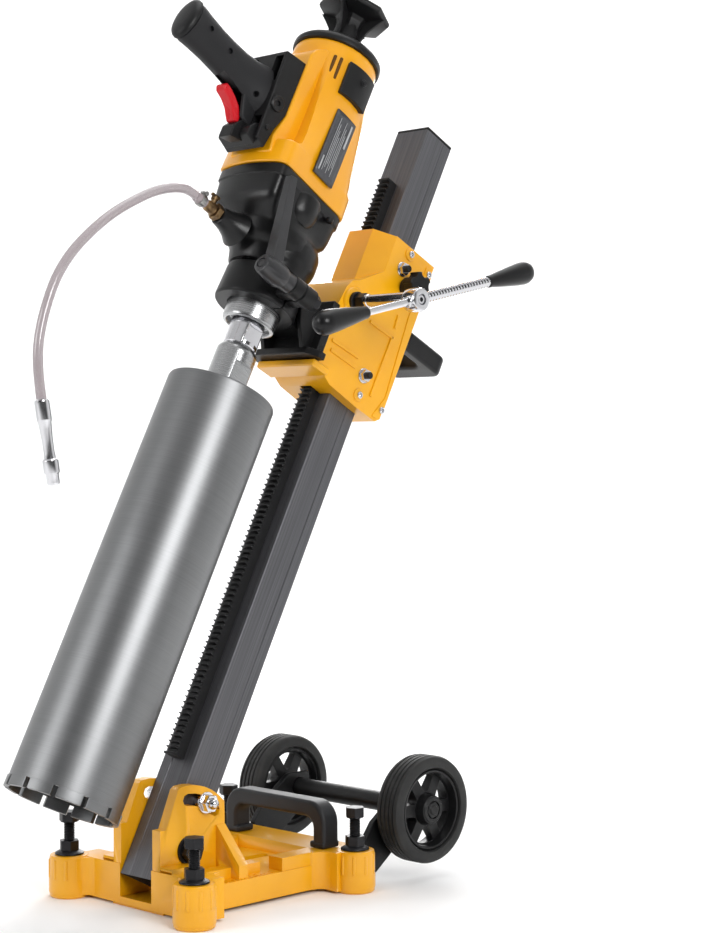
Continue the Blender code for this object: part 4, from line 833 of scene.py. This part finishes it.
pockets = together(block((14, 26.6), (-245, -213), (830, 862)), block((13, 26), (-245, -216), (764, 786)))
box_shape = carved(box_shape, both_sides(pockets))
show("switch_box_case", together(box_shape, lug, fork, dials), BLACK_NYLON, "carriage", ["switch_box"])
GRIP_SOFT = moulded("soft_black_grip", "1D1D1F", 0.5, 0.8, 0.00006)
grip_way = Vector((0, -1, 0.104)).normalized()
handle = turned([(0, 117.6), (21.8, 117.6), (24, 116.4), (24.6, 112), (23.4, 100), (22.2, 80), (22.2, 60), (23.4, 40),
                 (26.4, 22), (31, 8), (33.6, 0), (0, 0)], (0, -226, 819), grip_way, 96)
end = turned([(0, 8.4), (12, 8.2), (19.4, 7.4), (23.6, 5.6), (25.4, 3), (25.6, 0.3), (0, 0.3)],
             Vector((0, -226, 819)) + 117.8 * grip_way, grip_way, 72)
for shape in (handle, end):
    bmesh.ops.scale(shape, vec=(0.72, 1, 1), verts=shape.verts)
handle = carved(handle, block((-9.6, 9.6), (-284, -225), (750, 808.5)))
handle = carved(handle, block((-60, 60), (-228.5, -150), (740, 900)))
for side in (-1, 1):
    for d, lift in ((14, -15), (64, 1), (97, 3)):
        at = (-226 - d, 819 + 0.104 * d + lift)
        handle = carved(handle, rod((12.5 * side, *at), (30 * side, *at), 3.3, sides=20))
bridge = rounded(slab("X", -12, 12, [(-226, 835), (-245, 828), (-252, 808), (-250, 796), (-243, 776),
                                     (-226, 770)]), 3, 4)
bridge = carved(bridge, block((-8.6, 8.6), (-270, -229), (760, 808.5)))
handle = together(rounded(handle, 0.5, 2, 45), bridge)
show("pistol_grip_moulding", handle, GRIP_SOFT, "carriage", ["pistol_grip"])
show("grip_end_cap", end, BLACK_NYLON, "carriage", ["grip_cap"])
RED = moulded("red_moulded_plastic", "C81420", 0.26, 1.4, 0.00002)
blade = [(-275.5, 796), (-273, 790.5), (-263, 786.5), (-255, 781), (-250, 774.5), (-245.5, 769), (-239.5, 769.5),
         (-240.5, 777.5), (-246.5, 786.5), (-256, 793.5), (-265, 798), (-272, 800)]
show("trigger_moulding", rounded(slab("X", -7.4, 7.4, blade), 2, 3), RED, "trigger", ["trigger"])

# Spindle and core bit -----------------------------------------------------------------------------
# The core bit is a rolled steel barrel with brazed diamond segments round its rim, and its hub screws onto the
# drill's bright spindle.
BARREL_STEEL = turned_steel("rolled_barrel_steel", "858687", "7A7B7C", 0.4, 0.3)
barrel = turned([(22, 501.6), (57, 501.6), (59.4, 500.6), (60, 498.6), (60, 43), (56.6, 43), (56.6, 496), (22, 496)],
                SPINDLE_AXIS, steps=128)
segments = []
for i in range(12):
    a = 30 * i + 14.4
    outline = [*arc((0, -123), 61.2, a, a + 25, 8), *arc((0, -123), 55.6, a + 25, a, 8)]
    segments.append(rounded(slab("Z", 32.2, 43.5, outline), 0.5, 2, 50))
show("core_barrel", together(barrel, *segments), BARREL_STEEL, "spindle", ["core_bit"])
hub = turned([(13, 556), (18.4, 556), (20, 554.6), (22.3, 551), (22.5, 548), (22.5, 504.4), (23.6, 502.4),
              (10, 502.4), (10, 530), (13, 532)], SPINDLE_AXIS, steps=72)
hub = rounded(carved(hub, both_sides(block((19, 30), (-150, -100), (512, 536)))), 0.4, 2, 40)
show("bit_hub_turned", hub, GROUND_STEEL, "spindle", ["bit_hub"])
shaft = carved(turned([(0, 716), (8, 716), (8, 700), (12, 699), (12, 594), (13.6, 593), (17.6, 592), (18.8, 590.6),
                       (18.8, 558), (17.6, 556.6), (12.6, 556.4), (12.6, 534), (0, 534)], SPINDLE_AXIS, steps=64),
               both_sides(block((15.5, 30), (-150, -100), (562, 582))))
show("spindle_shaft", rounded(shaft, 0.4, 2, 40), CHROME, "spindle", ["spindle"])
for node in ("spindle_gear", "layshaft"):
    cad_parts[node].data.materials[0] = GROUND_STEEL
COPPER = turned_steel("enamelled_copper", "B0602F", "8E4722", 0.38, 0.8)
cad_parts["armature"].data.materials[0] = COPPER
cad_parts["field_stack"].data.materials[0] = BLACK_OXIDE

# Water inlet, clip and coupler --------------------------------------------------------------------
# Tarnished brass screwed into the gearbox's port, with a barb under a worm-drive clip, and a plated tap coupler on
# the hose's free end.
BRASS, shader = finish_named("tarnished_brass", Metallic=1.0, Roughness=0.4)
stain = noise(BRASS, 160.0, 5.0)
tones(BRASS, shader, stain, "5E4A36", "9A7F5A", 0.35, 0.7)
bump(BRASS, shader, stain, 0.00008)
barb = turned([(0, 59.8), (4.2, 59.8), (5, 57), (4.2, 54.4), (5, 51.6), (4.2, 49), (5, 46), (6.3, 42), (6.5, 33),
               (5, 32), (5, 5), (0, 4.4)], (0, -190, 671), (0, -1, 0), 32)
tap_stub = turned([(0, 12), (3, 12), (4.2, 11), (4.2, 8.4), (3.2, 7.6), (3.2, 3), (4.6, 0), (0, -2)],
                  (0, -226, 673), (0, 0, 1), 28)
inlet = together(barb, rounded(slab("Y", -221.6, -214.6, hexagon(17, (0, 671), 10)), 0.8, 2), tap_stub,
                 rounded(block((-1.7, 1.7), (-232, -220), (684, 687.4)), 0.8, 2))
show("inlet_fitting", inlet, BRASS, "carriage", ["water_inlet"])
CLIP_STEEL = turned_steel("clip_steel", "A9A8A6", "8F8E8C", 0.3, 0.4)
cuff = turned([(4.4, 15), (5.4, 14.4), (5.9, 12), (6.1, 2), (5.6, 0), (4.4, 0)], (0, -235.6, 671), (0, -1, 0), 32)
cuff = show("hose_cuff", cuff, hose_vinyl, "carriage")
band = turned([(6, 6), (6.9, 6), (7.1, 5.6), (7.1, 0.4), (6.9, 0), (6, 0)], (0, -238.4, 671), (0, -1, 0), 40)
worm_case = rounded(block((-3, 3.4), (-245, -237.8), (677.4, 680.6)), 0.8, 2)
worm_head = turned([(0, 3.4), (2, 3.2), (2.6, 2.6), (2.6, 0), (0, 0)], (3, -241.4, 679), (1, 0, 0), 20)
clip = show("hose_clip", together(band, worm_case, worm_head), CLIP_STEEL, "carriage")
coupler_start, coupler_end = Vector((0, *HOSE_ROUTE[-1])), Vector((0, -206.6, 439.4))
down = (coupler_end - coupler_start).normalized()
coupler = turned([(0, 87), (4.6, 87), (6.2, 86), (6.6, 84), (6.6, 76.4), (7.6, 75), (8.2, 74), (8.2, 62), (7.6, 61),
                  (6.2, 60), (5.6, 54), (5.7, 42), (6.4, 30), (6.9, 23.4), (7.5, 22), (7.7, 20), (7.7, 3), (7.2, 1),
                  (6, 0.4), (0, 0.4)], coupler_start, down, 48)
coupler = show("coupler_body", coupler, CHROME, "carriage", ["hose_coupler"], BASE)

bpy.context.view_layer.update()
